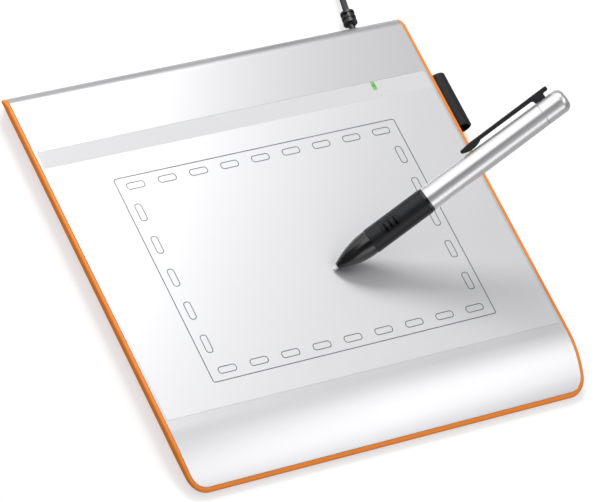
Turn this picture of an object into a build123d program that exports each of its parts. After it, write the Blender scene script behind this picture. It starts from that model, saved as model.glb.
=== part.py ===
from build123d import *
import os
from math import asin, cos, degrees, dist, pi, radians, sin, sqrt, tan

os.makedirs("parts", exist_ok=True)

# Graphics tablet with a cordless pen. Millimetres, +Z up, +Y to the back of the tablet.
# The origin is the middle of the footprint, on the surface that the feet stand on.

# Printed working area and the case round it
active_width = 139.7
active_depth = 101.6
active_x = 0.33
side_margin = 29.55
back_margin = 50.6
front_margin = 42.85
case_height = 9.2
foot_drop = 0.8
case_wall = 1.6
cover_wall = 1.6
seam_gap = 0.15

# Bright edge: a rounded lip round the silver cover, a straight side below it, then an undercut
rim_lip = 1.65
rim_side = 2.8
rim_round = 0.8
rim_front_side = 0.6
rim_bend_length = 29.6
slope_limit = 0.1
flank_undercut = 6.0
front_undercut = 1.9
back_undercut = 3.0
flank_step = 1.5
front_step = 0.5
back_step = 1.4
cover_skirt_z = 1.6

# Plan and side curves
taper_length = 26.6
taper_radius = 113.0
corner_radius = 8.65
least_corner = 1.0
back_radius = 7.0
palm_radius = 56.5
palm_gap = 3.9

# Drawing sheet, let into the cover
sheet_thickness = 0.3
sheet_edge_inset = 2.7
sheet_back_margin = 20.0
sheet_front_margin = 11.3
sheet_corner = 1.0
sheet_clearance = 0.08

# Status light
light_side_inset = 30.3
light_width = 1.9
light_length = 4.5
light_flange = 1.0
light_flange_height = 0.8
light_tail = 1.8
light_clearance = 0.05

# Boards and sheets behind the drawing area
sensor_margin = 6.0
sensor_thickness = 1.0
insulator_thickness = 0.3
shield_thickness = 0.5
shield_inset = 2.0
main_board_side_inset = 15.4
main_board_width = 74.0
main_board_depth = 19.6
main_board_gap = 3.5
main_board_thickness = 1.0
standoff_height = 0.8
standoff_radius = 2.2
standoff_inset = 2.2
pin_radius = 0.7
pin_clearance = 0.08

# What is soldered to the main board, placed from the end of it away from the lead
chip_inset = 21.0
chip_size = 7.0
chip_height = 1.2
leg_length = 1.0
leg_width = 0.35
leg_pitch = 0.8
leg_count = 8
crystal_inset = 34.0
crystal_length = 10.2
crystal_width = 3.8
crystal_height = 2.6
crystal_round = 0.4
header_inset = 15.0
header_front_inset = 2.5
header_length = 14.0
header_width = 2.5
header_height = 2.0
header_pins = 10
header_pin_pitch = 1.27
header_pin_width = 0.4
header_pin_reach = 1.2
led_width = 1.6
led_length = 3.2
led_lens_length = 2.0
led_height = 1.1

# Screws that hold the cover to the case
screw_side_inset = 13.4
screw_back_inset = 15.5
screw_front_inset = 39.5
screw_palm_inset = 3.9
screw_radius = 1.1
screw_clearance = 0.15
screw_head_radius = 2.2
screw_head_height = 1.4
screw_head_room = 0.3
screw_head_sink = 0.4
post_radius = 3.5
post_height = 2.2
post_gap = 0.1
boss_radius = 2.7
screw_bite = 2.9
thread_gap = 0.04
cross_width = 0.6
cross_length = 2.4
cross_depth = 0.7

# Feet and the bare rating plate on the underside
foot_radius = 6.0
foot_recess = 0.6
foot_clearance = 0.1
foot_side_inset = 21.0
foot_end_inset = 19.0
label_width = 48.0
label_depth = 20.0
label_thickness = 0.1
label_corner = 1.5
label_recess = 0.2
label_x = 42.0
label_y = 30.0
label_clearance = 0.2
rib_thickness = 1.0
rib_gap = 0.1
rib_front_inset = 42.0
rib_back_inset = 17.0

# Pen loop: folded elastic webbing round a rod inside the case
loop_length = 27.2
loop_back_inset = 46.5
loop_axis_z = 5.3
loop_reach = 4.0
loop_outer_radius = 4.1
loop_web = 0.9
loop_tongue = 2.2
loop_neck_out = 0.2
loop_clearance = 0.15
loop_end_clearance = 0.3
bead_inset = 8.4
bead_radius = 1.9
rod_radius = 0.9
rod_clearance = 0.05
cradle_thickness = 1.6
cradle_gap = 0.4

# Lead, its strain relief and the clamp that holds it
lead_radius = 1.4
relief_side_inset = 23.0
relief_z = 5.7
relief_lean = 10.0
relief_neck_radius = 1.45
relief_bend_radius = 8.0
relief_neck_length = 0.5
relief_length = 5.9
relief_ring_radius = 3.15
relief_ring_thickness = 1.1
relief_ring_count = 3
relief_body_radius = 2.75
relief_slot_width = 1.3
relief_slot_depth = 0.9
relief_slot_edge = 0.2
relief_slot_turn = 45.0
relief_hole_clearance = 0.1
anchor_width = 7.0
anchor_height = 3.0
anchor_depth = 3.0
anchor_inset = 5.6
clamp_spread = 7.6
clamp_thickness = 0.8
clamp_clearance = 0.1
clamp_tab = 4.4
clamp_post_radius = 2.2
clamp_screw_radius = 0.9
clamp_head_radius = 1.7
clamp_head_height = 1.0
clamp_screw_length = 2.4
socket_width = 8.4
socket_depth = 6.0
socket_height = 3.0
socket_slots = 4
socket_slot_pitch = 2.0
socket_slot_width = 1.0
lead_run_out = 8.7
lead_points = ((81.3, 122.8, 4.8), (84.0, 131.6, 3.1))
lead_run_in = 9.1

# Coil of the length of lead that lies put away behind the tablet
coil_x = 63.25
coil_y = 153.0
coil_inner_radius = 11.0
coil_pitch = 3.3
coil_quarters = (14, 13, 13, 13)
tie_thickness = 0.8
tie_width = 6.0
tie_gap = 0.15
tie_slack = 0.5
tail_run_out = 6.5
tail_points = ((47.3, 175.2, 11.0), (41.0, 175.4, 8.0), (35.3, 175.2, 5.0))
tail_run_in = 4.8

# Share of a straight run that an arc at its end may take up, and a step for reading a heading
route_share = 0.45
heading_step = 0.01

# USB plug
plug_axis_z = 3.9
plug_x = 24.0
plug_boot_length = 9.0
plug_boot_radius = 2.4
plug_boot_base = 3.4
boot_ring_count = 3
boot_ring_width = 0.9
boot_ring_depth = 0.4
plug_length = 25.0
plug_width = 15.6
plug_edge = 1.6
grip_scoop_radius = 12.0
grip_scoop_depth = 0.8
shell_length = 18.5
shell_width = 12.0
shell_height = 4.5
shell_wall = 0.3
shell_root = 1.0
window_distance = 8.0
tongue_width = 11.0
tongue_height = 1.9
tongue_inset = 1.2
contact_pitch = 2.3
contact_width = 1.1
contact_height = 0.12
window_size = 2.2
window_spread = 5.2

# Pen, as it stands on the drawing sheet: its nib, then three angles
nib_x = 6.95
nib_y = -17.25
nib_gap = 0.15
pen_turn = 10.7
pen_rise = 36.0
pen_roll = 16.9

# Pen, along its axis from the nib
nib_reach = 2.0
nose_length = 17.4
grip_length = 28.5
collar_length = 1.0
barrel_length = 59.9
cap_length = 11.9
nib_radius = 0.8
nib_clearance = 0.15
nose_tip_radius = 1.45
nose_tip_round = 0.45
nose_mid_radius = 4.6
nose_mid_length = 8.5
nose_base_radius = 5.45
grip_radius = 5.65
grip_end_round = 0.35
collar_radius = 5.6
core_radius = 4.9
barrel_front_radius = 5.45
barrel_rear_radius = 5.2
barrel_wall = 0.75
barrel_edge = 0.15
fit_gap = 0.05
spigot_length = 5.0
cap_spigot_length = 6.8
cap_bore = 2.95
cap_end_round = 3.0
core_bore = 3.6
nose_bore = 2.6
nose_bore_start = 6.4

# Nib, its holder and what senses its pressure
nib_length = 16.2
holder_radius = 1.6
holder_length = 4.6
holder_overlap = 1.6
press_travel = 0.6
press_gap = 0.3
sensor_radius = 2.9
sensor_length = 2.8
ferrite_radius = 1.7
ferrite_bore = 1.1
ferrite_length = 7.4
ferrite_start = 6.8
winding_thickness = 0.6
winding_length = 5.6
winding_gap = 0.02

# Side switch: a rocker let flush into the grip, with three ridges across its middle
rocker_centre = 30.35
rocker_turn = 12.0
rocker_length = 8.6
rocker_width = 4.2
rocker_corner = 2.0
rocker_inner = 3.4
rocker_gap = 0.2
foot_size = 1.2
foot_spread = 2.7
trunnion_radius = 0.35
trunnion_reach = 0.45
trunnion_level = 3.75
trunnion_clearance = 0.05
ridge_pitch = 2.45
ridge_length = 3.8
ridge_width = 1.0
ridge_proud = 0.45
ridge_count = 3
switch_size = 2.6
switch_height = 1.0
plunger_radius = 0.7
plunger_height = 0.4
switch_gap = 0.3
pen_board_width = 6.4
pen_board_thickness = 0.8
pen_board_level = 0.1
pen_board_start = 23.7
pen_board_length = 27.0

# Battery and its contacts
battery_radius = 4.15
battery_length = 42.5
battery_nub_radius = 1.9
battery_nub_height = 0.8
contact_thickness = 0.6
contact_gap = 0.1
spring_wire = 0.25
spring_radius = 2.5
spring_turns = 6
seal_radius = 0.4
seal_position = 3.4
seal_squeeze = 0.02

# Clip: its side view, measured out from the pen's axis and along it from the nib
clip_width = 3.4
clip_base_front = 108.9
clip_base_back = 113.9
clip_fillet = 1.4
clip_pad_round = 5.6
clip_outer = 9.0
clip_inner = 6.95
clip_pad_outer = 8.75
clip_end = 116.6
clip_tip = 71.6
clip_tip_width = 1.2
clip_tip_round = 0.54
clip_edge_round = 0.4
clip_pad = 76.6
clip_lift = 0.15
clip_base_lift = 0.2
tenon_depth = 1.2
tenon_length = 2.2
tenon_width = 2.0
tenon_clearance = 0.3

# Worked out from the values above
case_width = active_width + 2 * side_margin
case_depth = active_depth + back_margin + front_margin
half_width = case_width / 2
front_y = -case_depth / 2
back_y = case_depth / 2
top_z = foot_drop + case_height
floor_z = foot_drop + case_wall
shoulder_z = top_z - rim_side
underside_z = top_z - cover_wall
active_back_y = back_y - back_margin
active_front_y = front_y + front_margin
active_y = (active_back_y + active_front_y) / 2
sheet_back_y = active_back_y + sheet_back_margin
sheet_front_y = active_front_y - sheet_front_margin
palm_y = sheet_front_y - palm_gap
palm_length = palm_y - front_y
roll_y = back_y - back_radius
front_top_z = top_z - palm_radius + sqrt(palm_radius**2 - palm_length**2)
rib_depth = rim_side - cover_wall - rib_gap
rim_bend_y = front_y + rim_bend_length
rim_fall = shoulder_z - (front_top_z - rim_front_side)
rim_bend_radius = (rim_bend_length**2 + rim_fall**2) / (2 * rim_fall)
light_x = half_width - light_side_inset
light_y = sheet_back_y - light_length / 2
notch_width = light_width + 2 * light_clearance
notch_length = light_length + 2 * light_clearance
relief_x = half_width - relief_side_inset


def finish(part, name):
    """Label a finished piece and write it out."""
    part.label = name
    export_step(part, f"parts/{name}.step")


def plan_face(side_inset, front_inset, back_inset):
    """Plan of the case: straight flanks that draw in along the palm rest, rounded front corners."""
    bend_y = front_y + taper_length
    bend_x = half_width - taper_radius
    bend_radius = taper_radius - side_inset
    bend_angle = degrees(asin((bend_y - front_y - front_inset) / bend_radius))
    back = back_y - back_inset
    with BuildSketch() as plan:
        with BuildLine():
            right = CenterArc((bend_x, bend_y), bend_radius, 0, -bend_angle)
            left = CenterArc((-bend_x, bend_y), bend_radius, 180, bend_angle)
            Line(right @ 1, left @ 1)
            Line(right @ 0, (half_width - side_inset, back))
            Line((half_width - side_inset, back), (side_inset - half_width, back))
            Line((side_inset - half_width, back), left @ 0)
        make_face()
        fillet(plan.vertices().group_by(Axis.Y)[0], radius=max(corner_radius - side_inset, least_corner))
    return plan.sketch


def under_top(lowering):
    """Side view (Y to the right, Z up) of all that lies under the cover's surface, lowered square to it."""
    flat_z = top_z - lowering
    roll_radius = back_radius - lowering
    bend_radius = palm_radius - lowering
    bend_angle = degrees(asin(palm_length / bend_radius))
    with BuildSketch() as side:
        with BuildLine():
            bend = CenterArc((palm_y, flat_z - bend_radius), bend_radius, 90, bend_angle)
            roll = CenterArc((roll_y, top_z - back_radius), roll_radius, 0, 90)
            Line(bend @ 0, roll @ 1)
            Polyline(roll @ 0, (roll_y + roll_radius, below), (front_y, below), bend @ 1)
        make_face()
    return side.sketch


def under_rim():
    """Side view of all that lies under the bright edge: level, then falling towards the front."""
    bend_angle = degrees(asin(rim_bend_length / rim_bend_radius))
    with BuildSketch() as side:
        with BuildLine():
            bend = CenterArc((rim_bend_y, shoulder_z - rim_bend_radius), rim_bend_radius, 90, bend_angle)
            Polyline(bend @ 0, (back_y, shoulder_z), (back_y, below), (front_y, below), bend @ 1)
        make_face()
    return side.sketch


below = -2 * case_height
screw_x = half_width - screw_side_inset
screw_spots = [
    (screw_x, back_y - screw_back_inset),
    (-screw_x, back_y - screw_back_inset),
    (screw_x, front_y + screw_front_inset),
    (-screw_x, front_y + screw_front_inset),
    (0, back_y - screw_back_inset),
    (0, palm_y + screw_palm_inset),
]
foot_x = half_width - foot_side_inset
foot_y = back_y - foot_end_inset
foot_spots = [(foot_x, foot_y), (-foot_x, foot_y), (foot_x, -foot_y), (-foot_x, -foot_y), (0, 0)]
post_top = floor_z + post_height
seat_z = foot_drop + screw_head_sink + screw_head_height
loop_y = back_y - loop_back_inset
loop_x = half_width + loop_reach
bead_x = half_width - bead_inset
sensor_back_y = active_back_y + sensor_margin
main_front_y = sensor_back_y + main_board_gap
main_back_y = main_front_y + main_board_depth
main_y = (main_front_y + main_back_y) / 2
main_board_x = half_width - main_board_side_inset - main_board_width / 2
main_board_end = main_board_x - main_board_width / 2
standoff_x = main_board_width / 2 - standoff_inset
standoff_y = main_board_depth / 2 - standoff_inset
board_z = floor_z + standoff_height
board_top = board_z + main_board_thickness
anchor_y = back_y - anchor_inset
clamp_z = relief_z + anchor_height / 2
clamp_tab_z = relief_z - anchor_height / 2 + clamp_thickness
standoffs = [
    (main_board_x + x_side * standoff_x, main_y + y_side * standoff_y)
    for x_side in (-1, 1)
    for y_side in (-1, 1)
]
anchor_middle_y = anchor_y - anchor_depth / 2
clamp_spots = [(relief_x - clamp_spread, anchor_middle_y), (relief_x + clamp_spread, anchor_middle_y)]

# Space that the silver cover takes up in the case
with BuildPart() as cover_seat:
    with BuildSketch():
        add(plan_face(rim_lip, rim_lip, -cover_wall))
    extrude(amount=2 * top_z)
    with BuildSketch(Plane.YZ):
        add(under_top(cover_wall))
    extrude(amount=case_width, both=True, mode=Mode.SUBTRACT)
    with BuildSketch(Plane.XY.offset(below)):
        Rectangle(2 * case_width, 2 * case_depth)
    extrude(amount=cover_skirt_z - below, mode=Mode.SUBTRACT)

# Space inside the case
with BuildPart() as case_cavity:
    with BuildSketch(Plane.XY.offset(floor_z)):
        add(plan_face(flank_undercut + case_wall, front_undercut + case_wall, back_undercut + case_wall))
    with BuildSketch(Plane.XY.offset(shoulder_z)):
        add(plan_face(flank_step + case_wall, front_step + case_wall, back_step + case_wall))
    loft(ruled=True)
    with BuildSketch(Plane.XY.offset(shoulder_z)):
        add(plan_face(flank_step + case_wall, front_step + case_wall, back_step + case_wall))
    extrude(amount=rim_side)
    with BuildSketch(Plane.YZ):
        add(under_top(cover_wall))
    extrude(amount=case_width, both=True, mode=Mode.INTERSECT)

# Undercut lower half of the case
with BuildPart() as case_pan:
    with BuildSketch(Plane.XY.offset(foot_drop)):
        add(plan_face(flank_undercut, front_undercut, back_undercut))
    with BuildSketch(Plane.XY.offset(shoulder_z)):
        add(plan_face(flank_step, front_step, back_step))
    loft(ruled=True)
    with BuildSketch(Plane.YZ):
        add(under_rim())
    extrude(amount=case_width, both=True, mode=Mode.INTERSECT)

# Bottom case: the bright tray whose upper edge shows round the cover
with BuildPart() as bottom_case:
    with BuildSketch():
        add(plan_face(0, 0, 0))
    extrude(amount=2 * top_z)
    with BuildSketch(Plane.YZ):
        add(under_top(0))
    extrude(amount=case_width, both=True, mode=Mode.INTERSECT)
    with BuildSketch(Plane.YZ):
        add(under_rim())
    extrude(amount=case_width, both=True, mode=Mode.SUBTRACT)
    upright_faces = bottom_case.faces().filter_by(lambda face: abs(face.normal_at().Z) < slope_limit)
    upper_faces = bottom_case.faces().filter_by(lambda face: face.normal_at().Z > slope_limit)
    upright_edges = upright_faces.edges()
    rim_edges = upper_faces.edges().filter_by(lambda edge: edge in upright_edges)
    print("bright edge rounded on", len(rim_edges), "edges")
    fillet(rim_edges, radius=rim_round)
    add(case_pan.part)
    add(cover_seat.part, mode=Mode.SUBTRACT)
    add(case_cavity.part, mode=Mode.SUBTRACT)
    with BuildSketch(Plane.XY.offset(floor_z)):
        with Locations(*screw_spots):
            Circle(post_radius)
    extrude(amount=post_height)
    with BuildSketch(Plane.XY.offset(floor_z)):
        with Locations(*clamp_spots):
            Circle(clamp_post_radius)
    extrude(amount=clamp_tab_z - clamp_thickness - floor_z)
    with BuildSketch(Plane.XY.offset(clamp_tab_z - clamp_screw_length)):
        with Locations(*clamp_spots):
            Circle(clamp_screw_radius + thread_gap)
    extrude(amount=clamp_screw_length, mode=Mode.SUBTRACT)
    with BuildSketch(Plane.XY.offset(floor_z)):
        with Locations((relief_x, anchor_middle_y)):
            Rectangle(anchor_width, anchor_depth)
    extrude(amount=relief_z - anchor_height / 2 - floor_z)
    with BuildSketch(Plane.XY.offset(floor_z)):
        with Locations(*standoffs):
            Circle(standoff_radius)
    extrude(amount=standoff_height)
    with BuildSketch(Plane.XY.offset(board_z)):
        with Locations(*standoffs):
            Circle(pin_radius)
    extrude(amount=main_board_thickness + pin_radius)
    with BuildSketch(Plane.XY.offset(floor_z)):
        with Locations((bead_x, loop_y)):
            with GridLocations(0, loop_length + 2 * cradle_gap + cradle_thickness, 1, 2):
                Rectangle(2 * bead_radius, cradle_thickness)
    extrude(amount=loop_axis_z + bead_radius - floor_z)
    with BuildSketch(Plane.XY.offset(loop_axis_z)):
        with Locations((bead_x, loop_y)):
            Rectangle(2 * (rod_radius + rod_clearance), 2 * loop_length)
    extrude(amount=bead_radius, mode=Mode.SUBTRACT)
    with BuildSketch(Plane.XZ.offset(-loop_y)):
        with Locations((bead_x, loop_axis_z)):
            Circle(rod_radius + rod_clearance)
    extrude(amount=loop_length, both=True, mode=Mode.SUBTRACT)
    with BuildSketch(Plane.XY.offset(loop_axis_z - loop_tongue / 2 - loop_clearance)):
        with Locations((half_width - flank_undercut, loop_y)):
            Rectangle(2 * flank_undercut, loop_length + 2 * loop_end_clearance)
    extrude(amount=loop_tongue + 2 * loop_clearance, mode=Mode.SUBTRACT)
    with BuildSketch(Plane.XZ.offset(-anchor_y)):
        with Locations((relief_x, relief_z)):
            Circle(relief_neck_radius + relief_hole_clearance)
    extrude(amount=-back_radius, mode=Mode.SUBTRACT)
    with BuildSketch(Plane.XY.offset(foot_drop)):
        with Locations(*screw_spots):
            Circle(screw_head_radius + screw_head_room)
    extrude(amount=screw_head_sink + screw_head_height, mode=Mode.SUBTRACT)
    with BuildSketch(Plane.XY.offset(foot_drop)):
        with Locations(*screw_spots):
            Circle(screw_radius + screw_clearance)
    extrude(amount=case_height, mode=Mode.SUBTRACT)
    with BuildSketch(Plane.XY.offset(foot_drop)):
        with Locations(*foot_spots):
            Circle(foot_radius + foot_clearance)
    extrude(amount=foot_recess, mode=Mode.SUBTRACT)
    with BuildSketch(Plane.XY.offset(foot_drop)):
        with Locations((label_x, label_y)):
            RectangleRounded(label_width + label_clearance, label_depth + label_clearance, label_corner)
    extrude(amount=label_recess, mode=Mode.SUBTRACT)
finish(bottom_case.part, "bottom_case")

# Top cover: silver shell with the back roll, the flat drawing area and the palm rest
with BuildPart() as top_cover:
    with BuildSketch():
        add(plan_face(rim_lip + seam_gap, rim_lip + seam_gap, 0))
    extrude(amount=2 * top_z)
    with BuildSketch(Plane.YZ):
        add(under_top(0))
    extrude(amount=case_width, both=True, mode=Mode.INTERSECT)
    with BuildSketch(Plane.YZ):
        add(under_top(cover_wall))
    extrude(amount=case_width, both=True, mode=Mode.SUBTRACT)
    with BuildSketch(Plane.XY.offset(below)):
        Rectangle(2 * case_width, 2 * case_depth)
    extrude(amount=cover_skirt_z - below, mode=Mode.SUBTRACT)
    with BuildSketch(Plane.XZ):
        for side in (-1, 1):
            with BuildLine():
                Polyline(
                    (side * (half_width - flank_undercut), foot_drop),
                    (side * (half_width - flank_step), shoulder_z),
                    (side * half_width, shoulder_z),
                    (side * half_width, foot_drop),
                    close=True,
                )
            make_face()
    extrude(amount=case_depth, both=True, mode=Mode.SUBTRACT)
    with BuildSketch(Plane.XY.offset(post_top + post_gap)):
        with Locations(*screw_spots):
            Circle(boss_radius)
    extrude(amount=underside_z - post_top - post_gap)
    with BuildSketch(Plane.XY.offset(post_top + post_gap)):
        with Locations(*screw_spots):
            Circle(screw_radius + thread_gap)
    extrude(amount=screw_bite + thread_gap, mode=Mode.SUBTRACT)
    rib_x = half_width - flank_step - case_wall - rib_gap - rib_thickness / 2
    rib_length = case_depth - rib_front_inset - rib_back_inset
    with BuildSketch(Plane.XY.offset(underside_z - rib_depth)):
        with Locations((0, (rib_front_inset - rib_back_inset) / 2)):
            with GridLocations(2 * rib_x, 0, 2, 1):
                Rectangle(rib_thickness, rib_length)
    extrude(amount=rib_depth)
    with BuildSketch(Plane.XY.offset(top_z - sheet_thickness)):
        with Locations((0, (sheet_back_y + sheet_front_y) / 2)):
            sheet_width = case_width - 2 * sheet_edge_inset
            RectangleRounded(sheet_width, sheet_back_y - sheet_front_y, sheet_corner)
    extrude(amount=sheet_thickness, mode=Mode.SUBTRACT)
    with BuildSketch(Plane.XY.offset(underside_z)):
        with Locations((light_x, light_y)):
            Rectangle(notch_width, notch_length)
    extrude(amount=cover_wall, mode=Mode.SUBTRACT)
    with BuildSketch(Plane.XZ.offset(-anchor_y)):
        with Locations((relief_x, relief_z)):
            Circle(relief_neck_radius + relief_hole_clearance)
    extrude(amount=-back_radius, mode=Mode.SUBTRACT)
finish(top_cover.part, "top_cover")

# Drawing sheet: thin film in the cover's recess, notched for the light
with BuildPart() as drawing_sheet:
    with BuildSketch(Plane.XY.offset(top_z - sheet_thickness)):
        with Locations((0, (sheet_back_y + sheet_front_y) / 2)):
            film_width = sheet_width - 2 * sheet_clearance
            film_depth = sheet_back_y - sheet_front_y - 2 * sheet_clearance
            RectangleRounded(film_width, film_depth, sheet_corner)
        with Locations((light_x, light_y)):
            Rectangle(notch_width, notch_length, mode=Mode.SUBTRACT)
    extrude(amount=sheet_thickness)
finish(drawing_sheet.part, "drawing_sheet")

# Light pipe: green window with a flange under the cover
with BuildPart() as light_pipe:
    with BuildSketch(Plane.XY.offset(underside_z - light_tail - light_flange_height)):
        with Locations((light_x, light_y)):
            RectangleRounded(light_width, light_length, light_width / 4)
    extrude(amount=top_z - underside_z + light_tail + light_flange_height)
    with BuildSketch(Plane.XY.offset(underside_z - light_flange_height)):
        with Locations((light_x, light_y)):
            flange_length = light_length + 2 * light_flange
            RectangleRounded(light_width + 2 * light_flange, flange_length, light_flange / 2)
    extrude(amount=light_flange_height)
finish(light_pipe.part, "light_pipe")

# Sensor board, insulating sheet and shield plate, stuck under the drawing area
with BuildPart() as sensor_board:
    with BuildSketch(Plane.XY.offset(underside_z)):
        with Locations((active_x, active_y)):
            Rectangle(active_width + 2 * sensor_margin, active_depth + 2 * sensor_margin)
    extrude(amount=-sensor_thickness)
finish(sensor_board.part, "sensor_board")

sensor_low = underside_z - sensor_thickness
with BuildPart() as insulating_sheet:
    with BuildSketch(Plane.XY.offset(sensor_low)):
        with Locations((active_x, active_y)):
            margin = sensor_margin - shield_inset
            Rectangle(active_width + 2 * margin, active_depth + 2 * margin)
    extrude(amount=-insulator_thickness)
finish(insulating_sheet.part, "insulating_sheet")

with BuildPart() as shield_plate:
    with BuildSketch(Plane.XY.offset(sensor_low - insulator_thickness)):
        with Locations((active_x, active_y)):
            Rectangle(active_width + 2 * margin, active_depth + 2 * margin)
    extrude(amount=-shield_thickness)
finish(shield_plate.part, "shield_plate")

# Main board on its standoffs, with what is soldered to it
with BuildPart() as main_board:
    with BuildSketch(Plane.XY.offset(board_z)):
        with Locations((main_board_x, main_y)):
            Rectangle(main_board_width, main_board_depth)
        with Locations(*standoffs):
            Circle(pin_radius + pin_clearance, mode=Mode.SUBTRACT)
    extrude(amount=main_board_thickness)
finish(main_board.part, "main_board")

chip_x = main_board_end + chip_inset
with BuildPart() as controller_chip:
    with BuildSketch(Plane.XY.offset(board_top)):
        with Locations((chip_x, main_y)):
            with GridLocations(leg_pitch, 0, leg_count, 1):
                Rectangle(leg_width, chip_size + 2 * leg_length)
            with GridLocations(0, leg_pitch, 1, leg_count):
                Rectangle(chip_size + 2 * leg_length, leg_width)
    extrude(amount=chip_height / 4)
    with BuildSketch(Plane.XY.offset(board_top)):
        with Locations((chip_x, main_y)):
            Rectangle(chip_size, chip_size)
    extrude(amount=chip_height)
finish(controller_chip.part, "controller_chip")

with BuildPart() as crystal:
    with BuildSketch(Plane.XY.offset(board_top)):
        with Locations((main_board_end + crystal_inset, main_y)):
            SlotOverall(crystal_length, crystal_width, rotation=90)
    extrude(amount=crystal_height)
    fillet(crystal.faces().sort_by(Axis.Z)[-1].edges(), radius=crystal_round)
finish(crystal.part, "crystal")

header_spot = (main_board_end + header_inset, main_front_y + header_front_inset)
with BuildPart() as board_header:
    with BuildSketch(Plane.XY.offset(board_top)):
        with Locations(header_spot):
            Rectangle(header_length, header_width)
    extrude(amount=header_height)
    with BuildSketch(Plane.XY.offset(board_top + header_height)):
        with Locations(header_spot):
            with GridLocations(header_pin_pitch, 0, header_pins, 1):
                Rectangle(header_pin_width, header_pin_width)
    extrude(amount=header_pin_reach)
finish(board_header.part, "board_header")

with BuildPart() as status_led:
    with BuildSketch(Plane.XY.offset(board_top)):
        with Locations((light_x, light_y)):
            Rectangle(led_width, led_length)
    extrude(amount=led_height / 2)
    with BuildSketch(Plane.XY.offset(board_top + led_height / 2)):
        with Locations((light_x, light_y)):
            Rectangle(led_width, led_lens_length)
    extrude(amount=led_height / 2)
finish(status_led.part, "status_led")

with BuildPart() as board_socket:
    with BuildSketch(Plane.XY.offset(board_top)):
        with Locations((relief_x, main_back_y - socket_depth / 2)):
            Rectangle(socket_width, socket_depth)
    extrude(amount=socket_height)
    with BuildSketch(Plane.XY.offset(board_top + socket_height)):
        with Locations((relief_x, main_back_y - socket_depth / 2)):
            with GridLocations(socket_slot_pitch, 0, socket_slots, 1):
                Rectangle(socket_slot_width, socket_depth / 2)
    extrude(amount=-socket_height / 3, mode=Mode.SUBTRACT)
finish(board_socket.part, "board_socket")

# Lead inside the case, from the relief's anchor to the board
with BuildPart() as inner_lead:
    with BuildSketch(Plane.XZ.offset(-main_back_y)):
        with Locations((relief_x, relief_z)):
            Circle(lead_radius)
    extrude(amount=main_back_y - anchor_y + anchor_depth)
finish(inner_lead.part, "inner_lead")

# Strain relief: a block held inside, a neck through the wall and a ringed, slotted tail
lean = radians(relief_lean)
relief_dir = Vector(sin(lean), cos(lean), 0)
relief_shift = relief_bend_radius * (1 - cos(lean))
relief_start = Vector(relief_x + relief_shift, back_y + relief_bend_radius * sin(lean), relief_z)
relief_cross = Plane(origin=relief_start, x_dir=(0, 0, 1), z_dir=relief_dir)
relief_end = relief_start + relief_dir * (relief_neck_length + relief_length)
ring_step = (relief_length - relief_ring_thickness) / (relief_ring_count - 1)
with BuildPart() as strain_relief:
    with BuildSketch(Plane.XZ.offset(-anchor_y)):
        with Locations((relief_x, relief_z)):
            RectangleRounded(anchor_width, anchor_height, anchor_height / 4)
    extrude(amount=anchor_depth)
    with BuildLine():
        through = Line((relief_x, anchor_y, relief_z), (relief_x, back_y, relief_z))
        bend = TangentArc(through @ 1, relief_start, tangent=through % 1)
        Line(bend @ 1, relief_start + relief_dir * relief_neck_length)
    with BuildSketch(Plane.XZ.offset(-anchor_y)):
        with Locations((relief_x, relief_z)):
            Circle(relief_neck_radius)
    sweep()
    with BuildSketch(relief_cross.offset(relief_neck_length)):
        Circle(relief_body_radius)
    extrude(amount=relief_length)
    for number in range(relief_ring_count):
        with BuildSketch(relief_cross.offset(relief_neck_length + number * ring_step)):
            Circle(relief_ring_radius)
        extrude(amount=relief_ring_thickness)
    for number in range(relief_ring_count - 1):
        slot_start = relief_neck_length + number * ring_step + relief_ring_thickness + relief_slot_edge
        with BuildSketch(relief_cross.offset(slot_start)):
            Rectangle(2 * relief_ring_radius, relief_slot_width, rotation=relief_slot_turn + 90 * number)
            Circle(relief_body_radius - relief_slot_depth, mode=Mode.SUBTRACT)
        extrude(amount=ring_step - relief_ring_thickness - 2 * relief_slot_edge, mode=Mode.SUBTRACT)
finish(strain_relief.part, "strain_relief")

# Clamp over the anchor, and its two screws
with BuildPart() as lead_clamp:
    with BuildSketch(Plane.XZ.offset(-anchor_y)):
        with Locations((relief_x, clamp_z + clamp_thickness / 2)):
            Rectangle(anchor_width + 2 * (clamp_clearance + clamp_thickness), clamp_thickness)
        clamp_leg_x = anchor_width / 2 + clamp_clearance + clamp_thickness / 2
        leg_low = clamp_tab_z - clamp_thickness
        with Locations((relief_x, (clamp_z + leg_low) / 2)):
            with GridLocations(2 * clamp_leg_x, 0, 2, 1):
                Rectangle(clamp_thickness, clamp_z - leg_low)
        with Locations((relief_x, leg_low + clamp_thickness / 2)):
            with GridLocations(2 * clamp_spread, 0, 2, 1):
                Rectangle(2 * (clamp_spread - clamp_leg_x), clamp_thickness)
    extrude(amount=anchor_depth)
    with BuildSketch(Plane.XY.offset(leg_low)):
        with Locations(*clamp_spots):
            Circle(clamp_screw_radius + thread_gap)
    extrude(amount=clamp_thickness, mode=Mode.SUBTRACT)
finish(lead_clamp.part, "lead_clamp")

with BuildPart() as clamp_screws:
    with BuildSketch(Plane.XY.offset(clamp_tab_z)):
        with Locations(*clamp_spots):
            Circle(clamp_head_radius)
    extrude(amount=clamp_head_height)
    with BuildSketch(Plane.XY.offset(clamp_tab_z)):
        with Locations(*clamp_spots):
            Circle(clamp_screw_radius)
    extrude(amount=-clamp_screw_length)
    with BuildSketch(Plane.XY.offset(clamp_tab_z + clamp_head_height)):
        with Locations(*clamp_spots):
            Rectangle(clamp_head_radius, cross_width)
            Rectangle(cross_width, clamp_head_radius)
    extrude(amount=-clamp_head_height / 2, mode=Mode.SUBTRACT)
finish(clamp_screws.part, "clamp_screws")

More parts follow.
